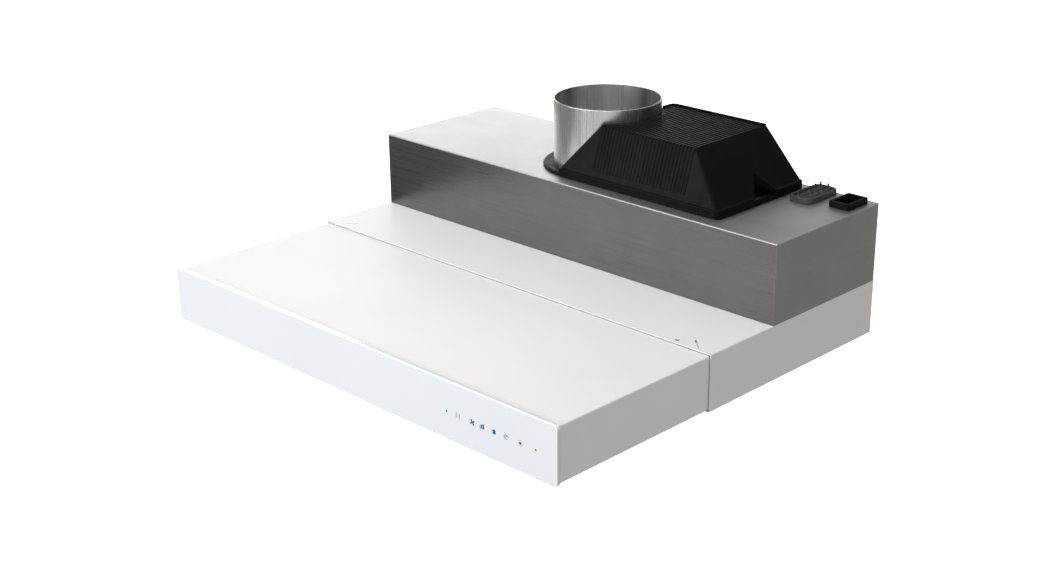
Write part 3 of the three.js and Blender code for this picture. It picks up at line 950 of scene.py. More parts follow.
WHITE_PAINT = Paint(
    "white_powder_paint", "white_paint", (0.775, 0.765, 0.75), (0.80, 0.79, 0.775), (0.44, 0.54),
)
# painted shade: the box's front and sides are painted darker than its top
BODY_STEEL = Brushed(
    "brushed_steel_sheet", "stainless", (0.49, 0.485, 0.48), (0.61, 0.605, 0.60), (0.25, 0.35),
    depth=0.002, painted_facing_shade=(0.45, 0.27, 1.0), satin=(1.0, 1.0, 1.45),
)
TUBE_STEEL = Brushed(
    "rolled_steel_tube", "stainless", (0.68, 0.675, 0.67), (0.74, 0.735, 0.73), (0.17, 0.25),
    line=6.0, fineness=1800.0, across=(2, 2), depth=0.0004, painted_facing_shade=(0.82, 0.82, 0.82),
)
BRIGHT_STEEL = Brushed(
    "bright_rolled_steel", "bright_steel", (0.5, 0.5, 0.5), (0.62, 0.62, 0.61), (0.18, 0.3),
)
ZINC_SHEET = Spangled("zinc_sheet", "galvanised", (0.5, 0.51, 0.52), (0.6, 0.61, 0.62), (0.34, 0.46))
ALUMINIUM = Brushed(
    "aluminium_sheet", "filter_aluminium", (0.55, 0.56, 0.57), (0.7, 0.71, 0.72), (0.28, 0.42),
)
BLACK_PLASTIC = Moulded(
    "satin_black_plastic", "black_plastic", (0.004, 0.004, 0.0043), (0.0065, 0.0065, 0.0069), (0.34, 0.46),
    specular=0.04,
)
GREY_RUBBER = Moulded(
    "grey_gland_rubber", "grey_rubber", (0.045, 0.046, 0.049), (0.062, 0.063, 0.067), (0.55, 0.7),
    specular=0.3,
)
BLACK_RUBBER = Moulded(
    "black_seal_rubber", "black_rubber", (0.009, 0.009, 0.009), (0.014, 0.014, 0.014), (0.6, 0.8),
)
WHITE_PLASTIC = Moulded(
    "white_moulding", "white_plastic", (0.66, 0.66, 0.64), (0.74, 0.74, 0.72), (0.35, 0.5),
)
WHITE_GLASS = BackPaintedGlass(
    "painted_glass", "white_glass", (0.80, 0.83, 0.86), (0.83, 0.86, 0.89), (0.08, 0.14),
)
LENS = Opal("opal_lens", "lamp_lens", (0.86, 0.86, 0.85), (0.93, 0.93, 0.92), (0.2, 0.3))
BOARD = Circuit("green_board", "circuit_board", (0.008, 0.05, 0.02), (0.02, 0.10, 0.04), (0.3, 0.45))
BRASS = Brushed("turned_brass", "brass", (0.62, 0.45, 0.2), (0.78, 0.58, 0.28), (0.22, 0.34))
BLUE_INK = Moulded(
    "blue_print", "white_glass", (0.0, 0.12, 0.42), (0.003, 0.17, 0.52), (0.1, 0.16), grain=0.001,
)
PALE_INK = Moulded(
    "pale_blue_print", "white_glass", (0.03, 0.16, 0.42), (0.05, 0.20, 0.48), (0.1, 0.16), grain=0.001,
)
DARK_INK = Moulded(
    "grey_print", "white_glass", (0.03, 0.035, 0.05), (0.05, 0.055, 0.07), (0.1, 0.16), grain=0.001,
)
RED_INK = Moulded(
    "red_print", "white_glass", (0.6, 0.005, 0.03), (0.7, 0.015, 0.045), (0.1, 0.16), grain=0.001,
)


# ------------------------------------------------------------------ folded sheet metal
@dataclass
class FoldedSheet:
    """A folded sheet piece: its node's own sheet, with rounded bends and broken edges.

    Args:
        node: The node it stands for.
        name: The piece's name.
        finish: Its finish.
        folds: The pairs of box sides that meet in a bend.
        bend: Outer radius of a bend.
        edge: How far other edges are broken.
        windows: Whether the sheet has windows, so its flat faces are split round them.
    """

    node: str
    name: str
    finish: Finish
    folds: tuple[tuple[Side, Side], ...] = ()
    bend: float = 1.2
    edge: float = 0.15
    windows: bool = False

    def build(self) -> bpy.types.Object:
        """Copies the node, rounds its edges and mounts it.

        Returns:
            The sheet.
        """
        piece = merged_copy(self.node, self.name, self.windows)
        box = Box.of(self.node)
        weights = edge_weights(piece.data, box, self.folds, self.edge / self.bend)
        round_edges(piece, weights, self.bend)
        shade(piece)
        return mount(piece, self.finish, self.node)


LENGTHWISE = (
    (Side.LEFT, Side.TOP), (Side.RIGHT, Side.TOP), (Side.LEFT, Side.UNDER), (Side.RIGHT, Side.UNDER),
)
BOX_TOP_FOLDS = ((Side.LEFT, Side.TOP), (Side.RIGHT, Side.TOP), (Side.FRONT, Side.TOP), (Side.BACK, Side.TOP))
UPRIGHT_FOLDS = (
    (Side.LEFT, Side.FRONT), (Side.RIGHT, Side.FRONT), (Side.LEFT, Side.BACK), (Side.RIGHT, Side.BACK),
)
TRAY_FOLDS = (
    (Side.LEFT, Side.UNDER), (Side.RIGHT, Side.UNDER), (Side.FRONT, Side.UNDER), (Side.BACK, Side.UNDER),
) + UPRIGHT_FOLDS


# ------------------------------------------------------------------ glass front
class Mark(Enum):
    """The generic signs printed on the glass, left to right."""

    POWER = "power"
    FRAME = "frame"
    FAN = "fan"
    LEVEL = "level"
    HOME = "home"
    AROUND = "around"
    LAMP = "lamp"
    ALERT = "alert"


@dataclass
class GlassFront:
    """White glass panel with eight touch signs.

    Args:
        corner: Radius of the panel's corners.
        polish: Radius of its polished front edge.
        recess: How far the glass lies behind the signs' faces.
        print_height: Height of the row of signs above the panel's lower edge.
        places: Distance of each sign from the panel's right end.
    """

    corner: float = 5.0
    polish: float = 1.0
    recess: float = 0.08
    print_height: float = 30.0
    places: tuple[float, ...] = (147.0, 131.0, 111.0, 98.0, 81.5, 66.0, 47.0, 27.0)

    def build(self) -> None:
        """Builds the panel and its signs."""
        box = Box.of("glass_front")
        back, front = -box.hi[1], -box.lo[1] - self.recess
        outline = (box.lo[0], box.hi[0], box.lo[2], box.hi[2], self.corner)
        corners = [(2, back, 1), (0, back, 0.3), (0, front, self.polish), (2, front, 1)]
        profile = rounded_line(corners, closed=False, steps=6)
        skin = ring_skin(rectangle_rings(inset_levels(outline, profile), 8), Ends.CAPPED)
        mount(new_piece("glass_panel", skin.facing_front()), WHITE_GLASS, "glass_front")
        for name, finish, marks in (
            ("signs_blue", BLUE_INK, (Mark.POWER, Mark.LEVEL, Mark.HOME)),
            ("signs_pale_blue", PALE_INK, (Mark.AROUND,)),
            ("signs_grey", DARK_INK, (Mark.FRAME, Mark.FAN, Mark.LAMP)),
            ("signs_red", RED_INK, (Mark.ALERT,)),
        ):
            signs = [self.sign(mark, box, front) for mark in marks]
            piece = new_piece(name, joined(signs).facing_front())
            piece.data.materials.append(finish.material())
            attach(piece, body_with("glass_front"))
            log.info("%s: %d faces", name, len(piece.data.polygons))

    def sign(self, mark: Mark, box: Box, front: float) -> Skin:
        """One sign as thin prisms on the glass, in its place.

        Args:
            mark: Which sign.
            box: The glass panel's box.
            front: Where the glass's face is.

        Returns:
            The prisms.
        """
        place = self.places[list(Mark).index(mark)]
        middle = np.array([box.hi[0] - place, box.lo[2] + self.print_height])
        near, far = front - 0.01, front + self.recess - 0.02
        return joined([prism(outline + middle, near, far) for outline in SIGN_SHAPES[mark]()])


def disc(radius: float, x: float = 0.0, y: float = 0.0) -> np.ndarray:
    """A circle's outline: x + r cos a, y + r sin a."""
    angle = np.linspace(0, 2 * math.pi, 24, endpoint=False)
    return np.stack([x + radius * np.cos(angle), y + radius * np.sin(angle)], axis=1)


def bar(left: float, right: float, low: float, high: float) -> np.ndarray:
    """A rectangle's outline, anticlockwise."""
    return np.array([[left, low], [right, low], [right, high], [left, high]])


def arc_band(radius: float, width: float, first: float, last: float) -> np.ndarray:
    """A bent band: an arc at radius plus half the width, and back at radius minus half of it.

    Args:
        radius: Middle radius of the band.
        width: Its width.
        first: Where it starts, in degrees.
        last: Where it ends, in degrees.

    Returns:
        The outline.
    """
    angle = np.radians(np.linspace(first, last, 25))
    ray = np.stack([np.cos(angle), np.sin(angle)], axis=1)
    return np.concatenate([ray * (radius + width / 2), ray[::-1] * (radius - width / 2)])


def turned_flat(outline: np.ndarray, degrees: float) -> np.ndarray:
    """The outline turned about the origin.

    Args:
        outline: The outline.
        degrees: How far it is turned.

    Returns:
        The turned outline.
    """
    angle = math.radians(degrees)
    spin = np.array([[math.cos(angle), math.sin(angle)], [-math.sin(angle), math.cos(angle)]])
    return outline @ spin


def blade() -> np.ndarray:
    """A fan blade: an ellipse beside the hub, leaning sideways."""
    return disc(1.0) * np.array([1.6, 0.85]) + np.array([1.9, 0.5])


SIGN_SHAPES: dict[Mark, Callable[[], list[np.ndarray]]] = {
    Mark.POWER: lambda: [disc(1.15)],
    Mark.FRAME: lambda: [
        bar(-2.6, -2.1, -2.6, 2.6), bar(-2.6, -1.5, 2.2, 2.6), bar(-2.6, -1.5, -2.6, -2.2),
        bar(2.1, 2.6, -2.6, 2.6), bar(1.5, 2.6, 2.2, 2.6), bar(1.5, 2.6, -2.6, -2.2),
        bar(-0.8, 0.8, -0.3, 0.3),
    ],
    Mark.FAN: lambda: [disc(0.6)] + [turned_flat(blade(), turn) for turn in (20, 110, 200, 290)],
    Mark.LEVEL: lambda: [bar(-2.9, -2.1, -2.4, 0.8), bar(-1.5, 0.5, -2.4, 1.8), bar(1.0, 3.0, -2.4, 2.8)],
    Mark.HOME: lambda: [
        np.array([[-2.0, -2.5], [2.0, -2.5], [2.0, 0.3], [2.9, 0.3], [0, 3.0], [-2.9, 0.3], [-2.0, 0.3]]),
    ],
    Mark.AROUND: lambda: [arc_band(2.1, 0.8, 20, 320), np.array([[1.0, 0.6], [3.3, 0.6], [2.1, 2.2]])],
    Mark.LAMP: lambda: [disc(1.4)] + [
        turned_flat(bar(1.9, 2.9, -0.25, 0.25), turn) for turn in range(0, 360, 45)
    ],
    Mark.ALERT: lambda: [disc(1.15)],
}


# ------------------------------------------------------------------ duct collar
@dataclass
class DuctCollar:
    """The brushed tube that the duct goes on, its black foot ring and its damper.

    Args:
        radius: Outer radius of the tube.
        wall: Thickness of the tube.
        foot: Outer radius of the flange under the sheet.
        seam: Height of the weld seam up the back of the tube.
        steps: Facets round the tube.
    """

    radius: float = 62.5
    wall: float = 1.0
    foot: float = 70.0
    seam: float = 0.2
    steps: int = 240

    def build(self) -> None:
        """Builds the tube, the ring round its foot and the flap."""
        self.tube()
        self.foot_ring()
        self.flap()

    def tube(self) -> None:
        """Turns the tube's section and lets the shaft's bushes through its wall."""
        box = Box.of("duct_collar")
        x, y = box.middle[:2]
        low, top = box.lo[2], box.hi[2]
        seat = Box.of("plenum_box").hi[2] - 1.3
        inner = self.radius - self.wall
        corners = [
            (inner, low, 0.1), (self.radius, low, 0.1), (self.radius, seat - 1, 0.4),
            (self.foot, seat - 1, 0.3),
            (self.foot, seat, 0.3), (self.radius, seat, 0.4), (self.radius, top, 0.45), (inner, top, 0.45),
        ]
        profile = rounded_line(corners, steps=3)
        rings = circle_rings(profile, x, y, self.steps)
        angle = np.linspace(0, 2 * math.pi, self.steps, endpoint=False)
        swell = self.seam * np.exp(-(((angle - math.radians(80)) / 0.03) ** 2))
        on_wall = (profile[:, 1] > seat + 1) & (profile[:, 1] < top - 0.6) & (profile[:, 0] > inner + 0.6)
        outward = np.stack([np.cos(angle), np.sin(angle), 0 * angle], axis=1)
        rings[on_wall] += outward * swell[:, None]
        piece = new_piece("collar_tube", ring_skin(rings, Ends.JOINED))
        shaft = Box.of("damper_shaft").middle
        bore = circle_rings(np.array([[7.3, -90.0], [7.3, 90.0]]), shaft[1], shaft[2], 32)
        cut_away(piece, [ring_skin(bore, Ends.CAPPED).facing_right().moved(x=x)])
        shade(piece)
        mount(piece, TUBE_STEEL, "duct_collar")

    def foot_ring(self) -> None:
        """Turns the black ring: a rounded outer edge, a raised inner lip and a groove between."""
        box = Box.of("collar_flange")
        x, y = box.middle[:2]
        outer, inner = box.size[0] / 2, self.radius + 0.3
        low, top = box.lo[2], box.hi[2]
        corners = [
            (inner, low, 0.1), (outer, low, 0.1), (outer, top - 1.6, 1.2), (outer - 2.6, top - 0.6, 0.8),
            (inner + 3.4, top - 0.6, 0.3), (inner + 2.8, top, 0.4), (inner, top, 0.4),
        ]
        rings = circle_rings(rounded_line(corners, steps=4), x, y, 180)
        mount(new_piece("collar_foot_ring", ring_skin(rings, Ends.JOINED)), BLACK_PLASTIC, "collar_flange")

    def flap(self) -> None:
        """Keeps the flap's node, and presses two stiffening beads and a turned edge into a skin over it."""
        box = Box.of("damper_flap")
        x, y = box.middle[:2]
        top = box.lo[2] + 1.2
        reach = box.size[0] / 2
        radius = np.array([reach - 0.6, reach - 1.2, 47, 46, 45, 44, 43, 30, 29, 28, 27, 26, 4.0])
        rise = np.array([0.02, 0.12, 0.12, 0.5, 0.75, 0.5, 0.12, 0.12, 0.5, 0.75, 0.5, 0.12, 0.12])
        upper = np.stack([radius, top + rise], axis=1)
        lower = np.stack([radius[::-1], np.full(len(radius), top - 0.3)], axis=1)
        rings = circle_rings(np.concatenate([upper, lower]), x, y, 120)
        piece = new_piece("flap_beads", ring_skin(rings, Ends.JOINED), 60)
        piece.data.materials.append(ZINC_SHEET.material())
        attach(piece, body_with("damper_flap"))
        log.info("flap_beads: %d faces", len(piece.data.polygons))


# ------------------------------------------------------------------ actuator cover
@dataclass
class ActuatorCover:
    """The black cover over the damper's motor: skirt, sloping walls, ribs, V notch and lip.

    Args:
        wall: Thickness of the moulding.
        skirt: Height of its upright skirt.
        skirt_corner: Radius of the skirt's corners.
        foot: Step from the skirt in to the slope's foot, at left, right, front and back.
        head: Step from the skirt in to the flat top, at left, right, front and back.
        edge: Radius of the edges.
        ribs: Number of ribs.
        rib_height: How far they stand out.
        rib_width: Width of a rib, as a share of the pitch.
        rib_start: Height above the skirt at which they begin.
        tip: How far the notch reaches in from the right side.
        notch_middle: Distance of the notch from the front side.
        notch_half: Half its width, 5 mm outside the right side.
        collar_room: Radius of the cut-out round the tube.
        ring_room: Radius of the cut-out round the foot ring.
    """

    wall: float = 2.2
    skirt: float = 9.7
    skirt_corner: float = 8.0
    foot: tuple[float, float, float, float] = (3.0, 3.0, 2.0, 2.0)
    head: tuple[float, float, float, float] = (51.0, 48.0, 20.0, 10.0)
    edge: float = 1.2
    ribs: int = 28
    rib_height: float = 0.6
    rib_width: float = 0.6
    rib_start: float = 6.5
    tip: float = 19.3
    notch_middle: float = 85.8
    notch_half: float = 27.9
    collar_room: float = 63.3
    ring_room: float = 75.6

    def __post_init__(self) -> None:
        """Reads the cover's and the tube's places from the frame."""
        self.box = Box.of("actuator_cover")
        self.axis = Box.of("duct_collar").middle[:2]
        self.skirt_top = self.box.lo[2] + self.skirt

    def outline(self, steps: tuple[float, ...], inset: float = 0.0) -> np.ndarray:
        """Left, right, front and back of the box, stepped in on each side and by the inset.

        Args:
            steps: Steps in at the left, right, front and back.
            inset: A further step on every side.

        Returns:
            Left, right, front and back.
        """
        (left, front, _), (right, back, _) = self.box.lo, self.box.hi
        a, b, c, d = steps
        return np.array([left + a + inset, right - b - inset, front + c + inset, back - d - inset])

    def outer_levels(self) -> np.ndarray:
        """Levels of the outside: skirt, rounded step, slope and rounded upper edge.

        Returns:
            One row for each level: left, right, front, back, corner radius and height.
        """
        low, top = self.box.lo[2], self.box.hi[2]
        turn = np.linspace(0, math.pi / 2, 5)
        skirt = self.outline((0, 0, 0, 0))
        rows = [[*skirt, self.skirt_corner, low]]
        for angle in turn:
            inset = self.edge * (1 - math.cos(angle))
            height = self.skirt_top - self.edge * (1 - math.sin(angle))
            rows.append([*self.outline((0, 0, 0, 0), inset), self.skirt_corner - inset, height])
        foot, head = self.outline(self.foot), self.outline(self.head)
        rows.append([*foot, 5.0, self.skirt_top + 0.15])
        share = (np.array([0.8, 12.0, 30.0, top - self.skirt_top - self.edge])) / (top - self.skirt_top)
        for part in share:
            rect = foot + (head - foot) * part
            rows.append([*rect, 5.0 - 3.0 * part, self.skirt_top + part * (top - self.skirt_top)])
        for angle in turn[1:]:
            inset = self.edge * (1 - math.cos(angle))
            height = top - self.edge * (1 - math.sin(angle))
            rows.append([*self.outline(self.head, inset), max(2.0 - inset, 0.4), height])
        return np.array(rows)

    def cavity(self) -> bpy.types.Object:
        """The hollow under the cover, without the walls of the notch.

        Returns:
            The hollow, to be cut away.
        """
        low, top = self.box.lo[2], self.box.hi[2]
        rows = [
            [*self.outline((0, 0, 0, 0), self.wall), 6.0, low - 1],
            [*self.outline((0, 0, 0, 0), self.wall), 6.0, self.skirt_top - self.wall],
            [*self.outline(self.foot, self.wall + 0.6), 3.0, self.skirt_top - self.wall + 0.1],
            [*self.outline(self.head, self.wall), 1.0, top - self.wall],
        ]
        piece = new_piece("cavity", ring_skin(rectangle_rings(np.array(rows)), Ends.CAPPED))
        cut_away(piece, [self.notch(self.wall, low + 12)])
        return piece

    def notch(self, grow: float, low: float) -> Skin:
        """The upright wedge of the V notch, thickened all round by grow.

        Args:
            grow: Thickness added all round.
            low: Where the wedge starts.

        Returns:
            The closed wedge.
        """
        mouth = self.box.hi[0] + 5
        tip = self.box.hi[0] - self.tip
        middle = self.box.lo[1] + self.notch_middle
        half = self.notch_half + 1.2 * grow
        corners = [
            (tip - 1.8 * grow, middle, 0.6 + grow),
            (mouth, middle - half, 0.1),
            (mouth, middle + half, 0.1),
        ]
        return prism(rounded_line(corners, steps=5), low, self.box.hi[2] + 5)

    def collar_cut(self, radius: float, top: float) -> Skin:
        """A cylinder round the tube's axis, from below the cover up to top."""
        profile = np.array([[radius, self.box.lo[2] - 1], [radius, top]])
        return ring_skin(circle_rings(profile, *self.axis, 180), Ends.CAPPED)

    def build(self) -> None:
        """Moulds the cover, then its ribs and its lip."""
        skin = ring_skin(rectangle_rings(self.outer_levels(), 8), Ends.CAPPED)
        cover = new_piece("motor_cover", skin)
        tools = [
            self.notch(0.0, self.skirt_top - 4),
            self.collar_cut(self.collar_room, self.box.hi[2] + 5),
            self.collar_cut(self.ring_room, self.box.lo[2] + 4.6),
        ]
        cut_away(cover, [self.cavity(), *tools])
        shade(cover, 25)
        mount(cover, BLACK_PLASTIC, "actuator_cover")
        for name, skin in (("motor_cover_ribs", self.rib_field()), ("motor_cover_lip", self.lip())):
            piece = new_piece(name, skin, 60)
            piece.data.materials.append(BLACK_PLASTIC.material())
            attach(piece, body_with("actuator_cover"))
            log.info("%s: %d faces", name, len(piece.data.polygons))

    def rib_section(self) -> tuple[np.ndarray, np.ndarray]:
        """Where the points across a rib lie in its pitch, and how high each one is.

        A rib is half an ellipse: height times the root of 1 minus the square of the distance from
        its middle over half its width.

        Returns:
            Places across the pitch, from 0 to 1, and heights, from 0 to 1.
        """
        half = self.rib_width / 2
        across = 0.5 + half * np.array([-1.0, -0.95, -0.8, -0.5, 0.0, 0.5, 0.8, 0.95, 1.0])
        height = np.sqrt(np.clip(1 - ((across - 0.5) / half) ** 2, 0, 1))
        return across, height

    def rib_field(self) -> Skin:
        """All the ribs: up the front slope, round the upper front edge and back over the top.

        Returns:
            All the ribs as one surface.
        """
        left, right, front, back = self.outline(self.head)
        pitch = (right - left) / self.ribs
        starts = left + pitch * np.arange(self.ribs)
        reach = np.sqrt(np.clip(self.collar_room**2 - (starts - self.axis[0]) ** 2, 0, None))
        beside = starts < self.axis[0] + self.collar_room
        rear = back - 2.4
        front_end = np.where(beside, self.axis[1] - reach - 1.6, rear)
        skins = [self.rib(start, pitch, end) for start, end in zip(starts, front_end)]
        for start, begin in zip(starts[beside], (self.axis[1] + reach + 1.6)[beside]):
            skins.append(self.top_rib(start, pitch, begin, rear))
        return joined(skins)

    def raised(self, start: float, pitch: float, line: np.ndarray, normal: np.ndarray) -> Skin:
        """A rib along a line of y and z: its section stands out along the normal, and its ends are round.

        Args:
            start: Left side of the rib's pitch.
            pitch: Width of the pitch.
            line: The line's points, y and z.
            normal: The normal at each of them, y and z.

        Returns:
            The closed rib, its foot 0.4 mm deep in the cover.
        """
        across, height = self.rib_section()
        step = np.linalg.norm(np.diff(line, axis=0), axis=1)
        run = np.concatenate([[0], np.cumsum(step)])
        from_end = np.minimum(run, run[-1] - run)
        end = np.sqrt(1 - (1 - np.clip(from_end / 1.6, 0, 1)) ** 2)
        out = end[:, None] * height[None] * self.rib_height
        x = np.broadcast_to(start + across * pitch, out.shape)
        outer = np.stack([x, line[:, :1] + normal[:, :1] * out, line[:, 1:] + normal[:, 1:] * out], axis=-1)
        sunk = line - 0.4 * normal
        inner = np.stack([x, sunk[:, :1] + 0 * out, sunk[:, 1:] + 0 * out], axis=-1)
        return slab_skin(outer, inner)

    def rib(self, start: float, pitch: float, end: float) -> Skin:
        """A whole rib: straight up the slope, an arc round the edge, straight back to end.

        Args:
            start: Left side of the rib's pitch.
            pitch: Width of the pitch.
            end: Where it ends at the rear.

        Returns:
            The closed rib.
        """
        front_foot = np.array([self.outline(self.foot)[2], self.skirt_top])
        front_head = np.array([self.outline(self.head)[2], self.box.hi[2]])
        slope = front_head - front_foot
        length = np.linalg.norm(slope)
        slope /= length
        lean = math.atan2(slope[1], slope[0])
        touch = self.edge * math.tan(lean / 2)
        fine = np.array([0, 0.1, 0.4, 0.9, 1.6])
        begin = self.rib_start / slope[1]
        up = np.concatenate([begin + fine, np.linspace(begin + 8, length - touch, 4)])
        climbing = front_foot + up[:, None] * slope
        turn = np.linspace(lean + math.pi / 2, math.pi / 2, 7)
        ray = np.stack([np.cos(turn), np.sin(turn)], axis=1)
        centre = np.array([front_head[0] + touch, self.box.hi[2] - self.edge])
        arc = centre + self.edge * ray[1:]
        back = np.concatenate([np.linspace(arc[-1, 0] + 4, end - 6, 4), end - fine[::-1]])
        flat = np.stack([back, np.full(len(back), self.box.hi[2])], axis=1)
        line = np.concatenate([climbing, arc, flat])
        normal = np.concatenate([np.tile(ray[0], (len(up), 1)), ray[1:], np.tile([0.0, 1.0], (len(back), 1))])
        return self.raised(start, pitch, line, normal)

    def top_rib(self, start: float, pitch: float, begin: float, end: float) -> Skin:
        """The short stretch of a rib behind the tube.

        Args:
            start: Left side of the rib's pitch.
            pitch: Width of the pitch.
            begin: Where it starts.
            end: Where it ends at the rear.

        Returns:
            The closed rib.
        """
        fine = np.array([0, 0.1, 0.4, 0.9, 1.6])
        y = np.concatenate([begin + fine, end - fine[::-1]])
        line = np.stack([y, np.full(len(y), self.box.hi[2])], axis=1)
        return self.raised(start, pitch, line, np.tile([0.0, 1.0], (len(y), 1)))

    def lip(self) -> Skin:
        """The raised lip along the top's rear edge, turned forward beside the tube.

        Returns:
            The closed lip.
        """
        left, right, _, back = self.outline(self.head)
        reach = math.sqrt(self.collar_room**2 - (left + 1 - self.axis[0]) ** 2)
        corners = [
            (right - 1.2, back - 1.0, 1.0),
            (left + 1.2, back - 1.0, 6.0),
            (left + 1.2, self.axis[1] + reach + 1.5, 1.0),
        ]
        flat = rounded_line(corners, closed=False, steps=8)
        path = np.concatenate([flat, np.full((len(flat), 1), self.box.hi[2])], axis=1)
        edges = [(-0.7, -0.5, 0.1), (0.7, -0.5, 0.1), (0.7, 2.2, 0.5), (-0.7, 2.2, 0.5)]
        section = rounded_line(edges, steps=4)
        return ring_skin(carried(section, path, (0, 0, 1)), Ends.CAPPED)


# ------------------------------------------------------------------ connections on the box
@dataclass
class CableGland:
    """Rubber entry plate: a rounded rim, a sunk membrane and ten nipples with closed tips.

    Args:
        corner: Radius of the rim's corners.
        neck: How far the neck in the sheet stands in from the rim.
        rim: Width of the rim.
        rim_height: Height of the rim above its seat.
        membrane: Height of the membrane above the seat.
        rows: Rows of nipples.
        radii: Radii of the larger and the smaller nipples.
    """

    corner: float = 9.0
    neck: float = 3.5
    rim: float = 3.2
    rim_height: float = 6.3
    membrane: float = 2.7
    rows: int = 5
    radii: tuple[float, float] = (3.9, 2.8)

    def build(self) -> None:
        """Builds the plate and its nipples as one moulding."""
        box = Box.of("cable_gland")
        seat = Box.of("plenum_box").hi[2] + 0.3
        top, floor = seat + self.rim_height, seat + self.membrane
        outline = (box.lo[0], box.hi[0], box.lo[1], box.hi[1], self.corner)
        corners = [
            (self.neck + 2, box.lo[2], 1), (self.neck, box.lo[2], 0.5), (self.neck, seat, 0.3),
            (0, seat, 0.5),
            (0.3, top, 1.4), (self.rim - 0.3, top, 1.2), (self.rim, floor, 0.8), (self.rim + 2, floor, 1),
        ]
        profile = rounded_line(corners, closed=False, steps=5)
        plate = ring_skin(rectangle_rings(inset_levels(outline, profile), 8), Ends.CAPPED)
        row, column = np.meshgrid(np.arange(self.rows), (0, 1), indexing="ij")
        x = box.middle[0] + 10.0 * (column.ravel() - 0.5)
        y = box.lo[1] + 8.5 + 10.1 * row.ravel()
        radius = np.where(column.ravel() == row.ravel() % 2, *self.radii)
        nipples = [self.nipple(*place, floor, box.hi[2]) for place in zip(x, y, radius)]
        mount(new_piece("gland_plate", joined([plate, *nipples])), GREY_RUBBER, "cable_gland")

    def nipple(self, x: float, y: float, radius: float, floor: float, tip: float) -> Skin:
        """A stepped cone with a thin closed tip that is cut off to suit a cable.

        Args:
            x: Where it stands from left to right.
            y: Where it stands from front to back.
            radius: Radius at its foot.
            floor: Height of the membrane.
            tip: Height of its tip.

        Returns:
            The closed nipple.
        """
        corners = [
            (radius + 0.5, floor - 0.6, 0.1), (radius, floor + 0.5, 0.5), (radius * 0.72, floor + 2.6, 0.4),
            (1.25, floor + 3.1, 0.3), (0.95, tip - 0.4, 0.3), (0.35, tip, 0.1),
        ]
        profile = rounded_line(corners, closed=False, steps=3)
        return ring_skin(circle_rings(profile, x, y, 20), Ends.CAPPED)


@dataclass
class PowerInlet:
    """Snap-in appliance inlet: a frame on the sheet round a deep socket.

    Args:
        rim: Width of the frame.
        body: How far the body stands in from the frame.
        floor: Thickness of the socket's floor.
        corner: Radius of the frame's corners.
    """

    rim: float = 4.0
    body: float = 2.5
    floor: float = 3.0
    corner: float = 2.2

    def build(self) -> None:
        """Builds the frame, body and socket as one moulding, with two guide ribs in the socket."""
        box = Box.of("power_inlet")
        seat = Box.of("plenum_box").hi[2] + 0.3
        outline = (box.lo[0], box.hi[0], box.lo[1], box.hi[1], self.corner)
        low, top = box.lo[2], box.hi[2]
        corners = [
            (self.body + 2, low, 1), (self.body, low, 0.5), (self.body, seat, 0.2), (0, seat, 0.3),
            (0, top, 0.9),
            (self.rim - 0.2, top, 0.5), (self.rim, low + self.floor, 0.4),
            (self.rim + 2, low + self.floor, 1),
        ]
        profile = rounded_line(corners, closed=False, steps=4)
        body = ring_skin(rectangle_rings(inset_levels(outline, profile), 5), Ends.CAPPED)
        side = box.hi[0] - self.rim
        ribs = [
            prism(bar(side - 1.0, side + 0.5, y - 1.2, y + 1.2), low + self.floor - 0.5, top - 2.0)
            for y in box.middle[1] + np.array([-9.0, 9.0])
        ]
        mount(new_piece("inlet_moulding", joined([body, *ribs])), BLACK_PLASTIC, "power_inlet")


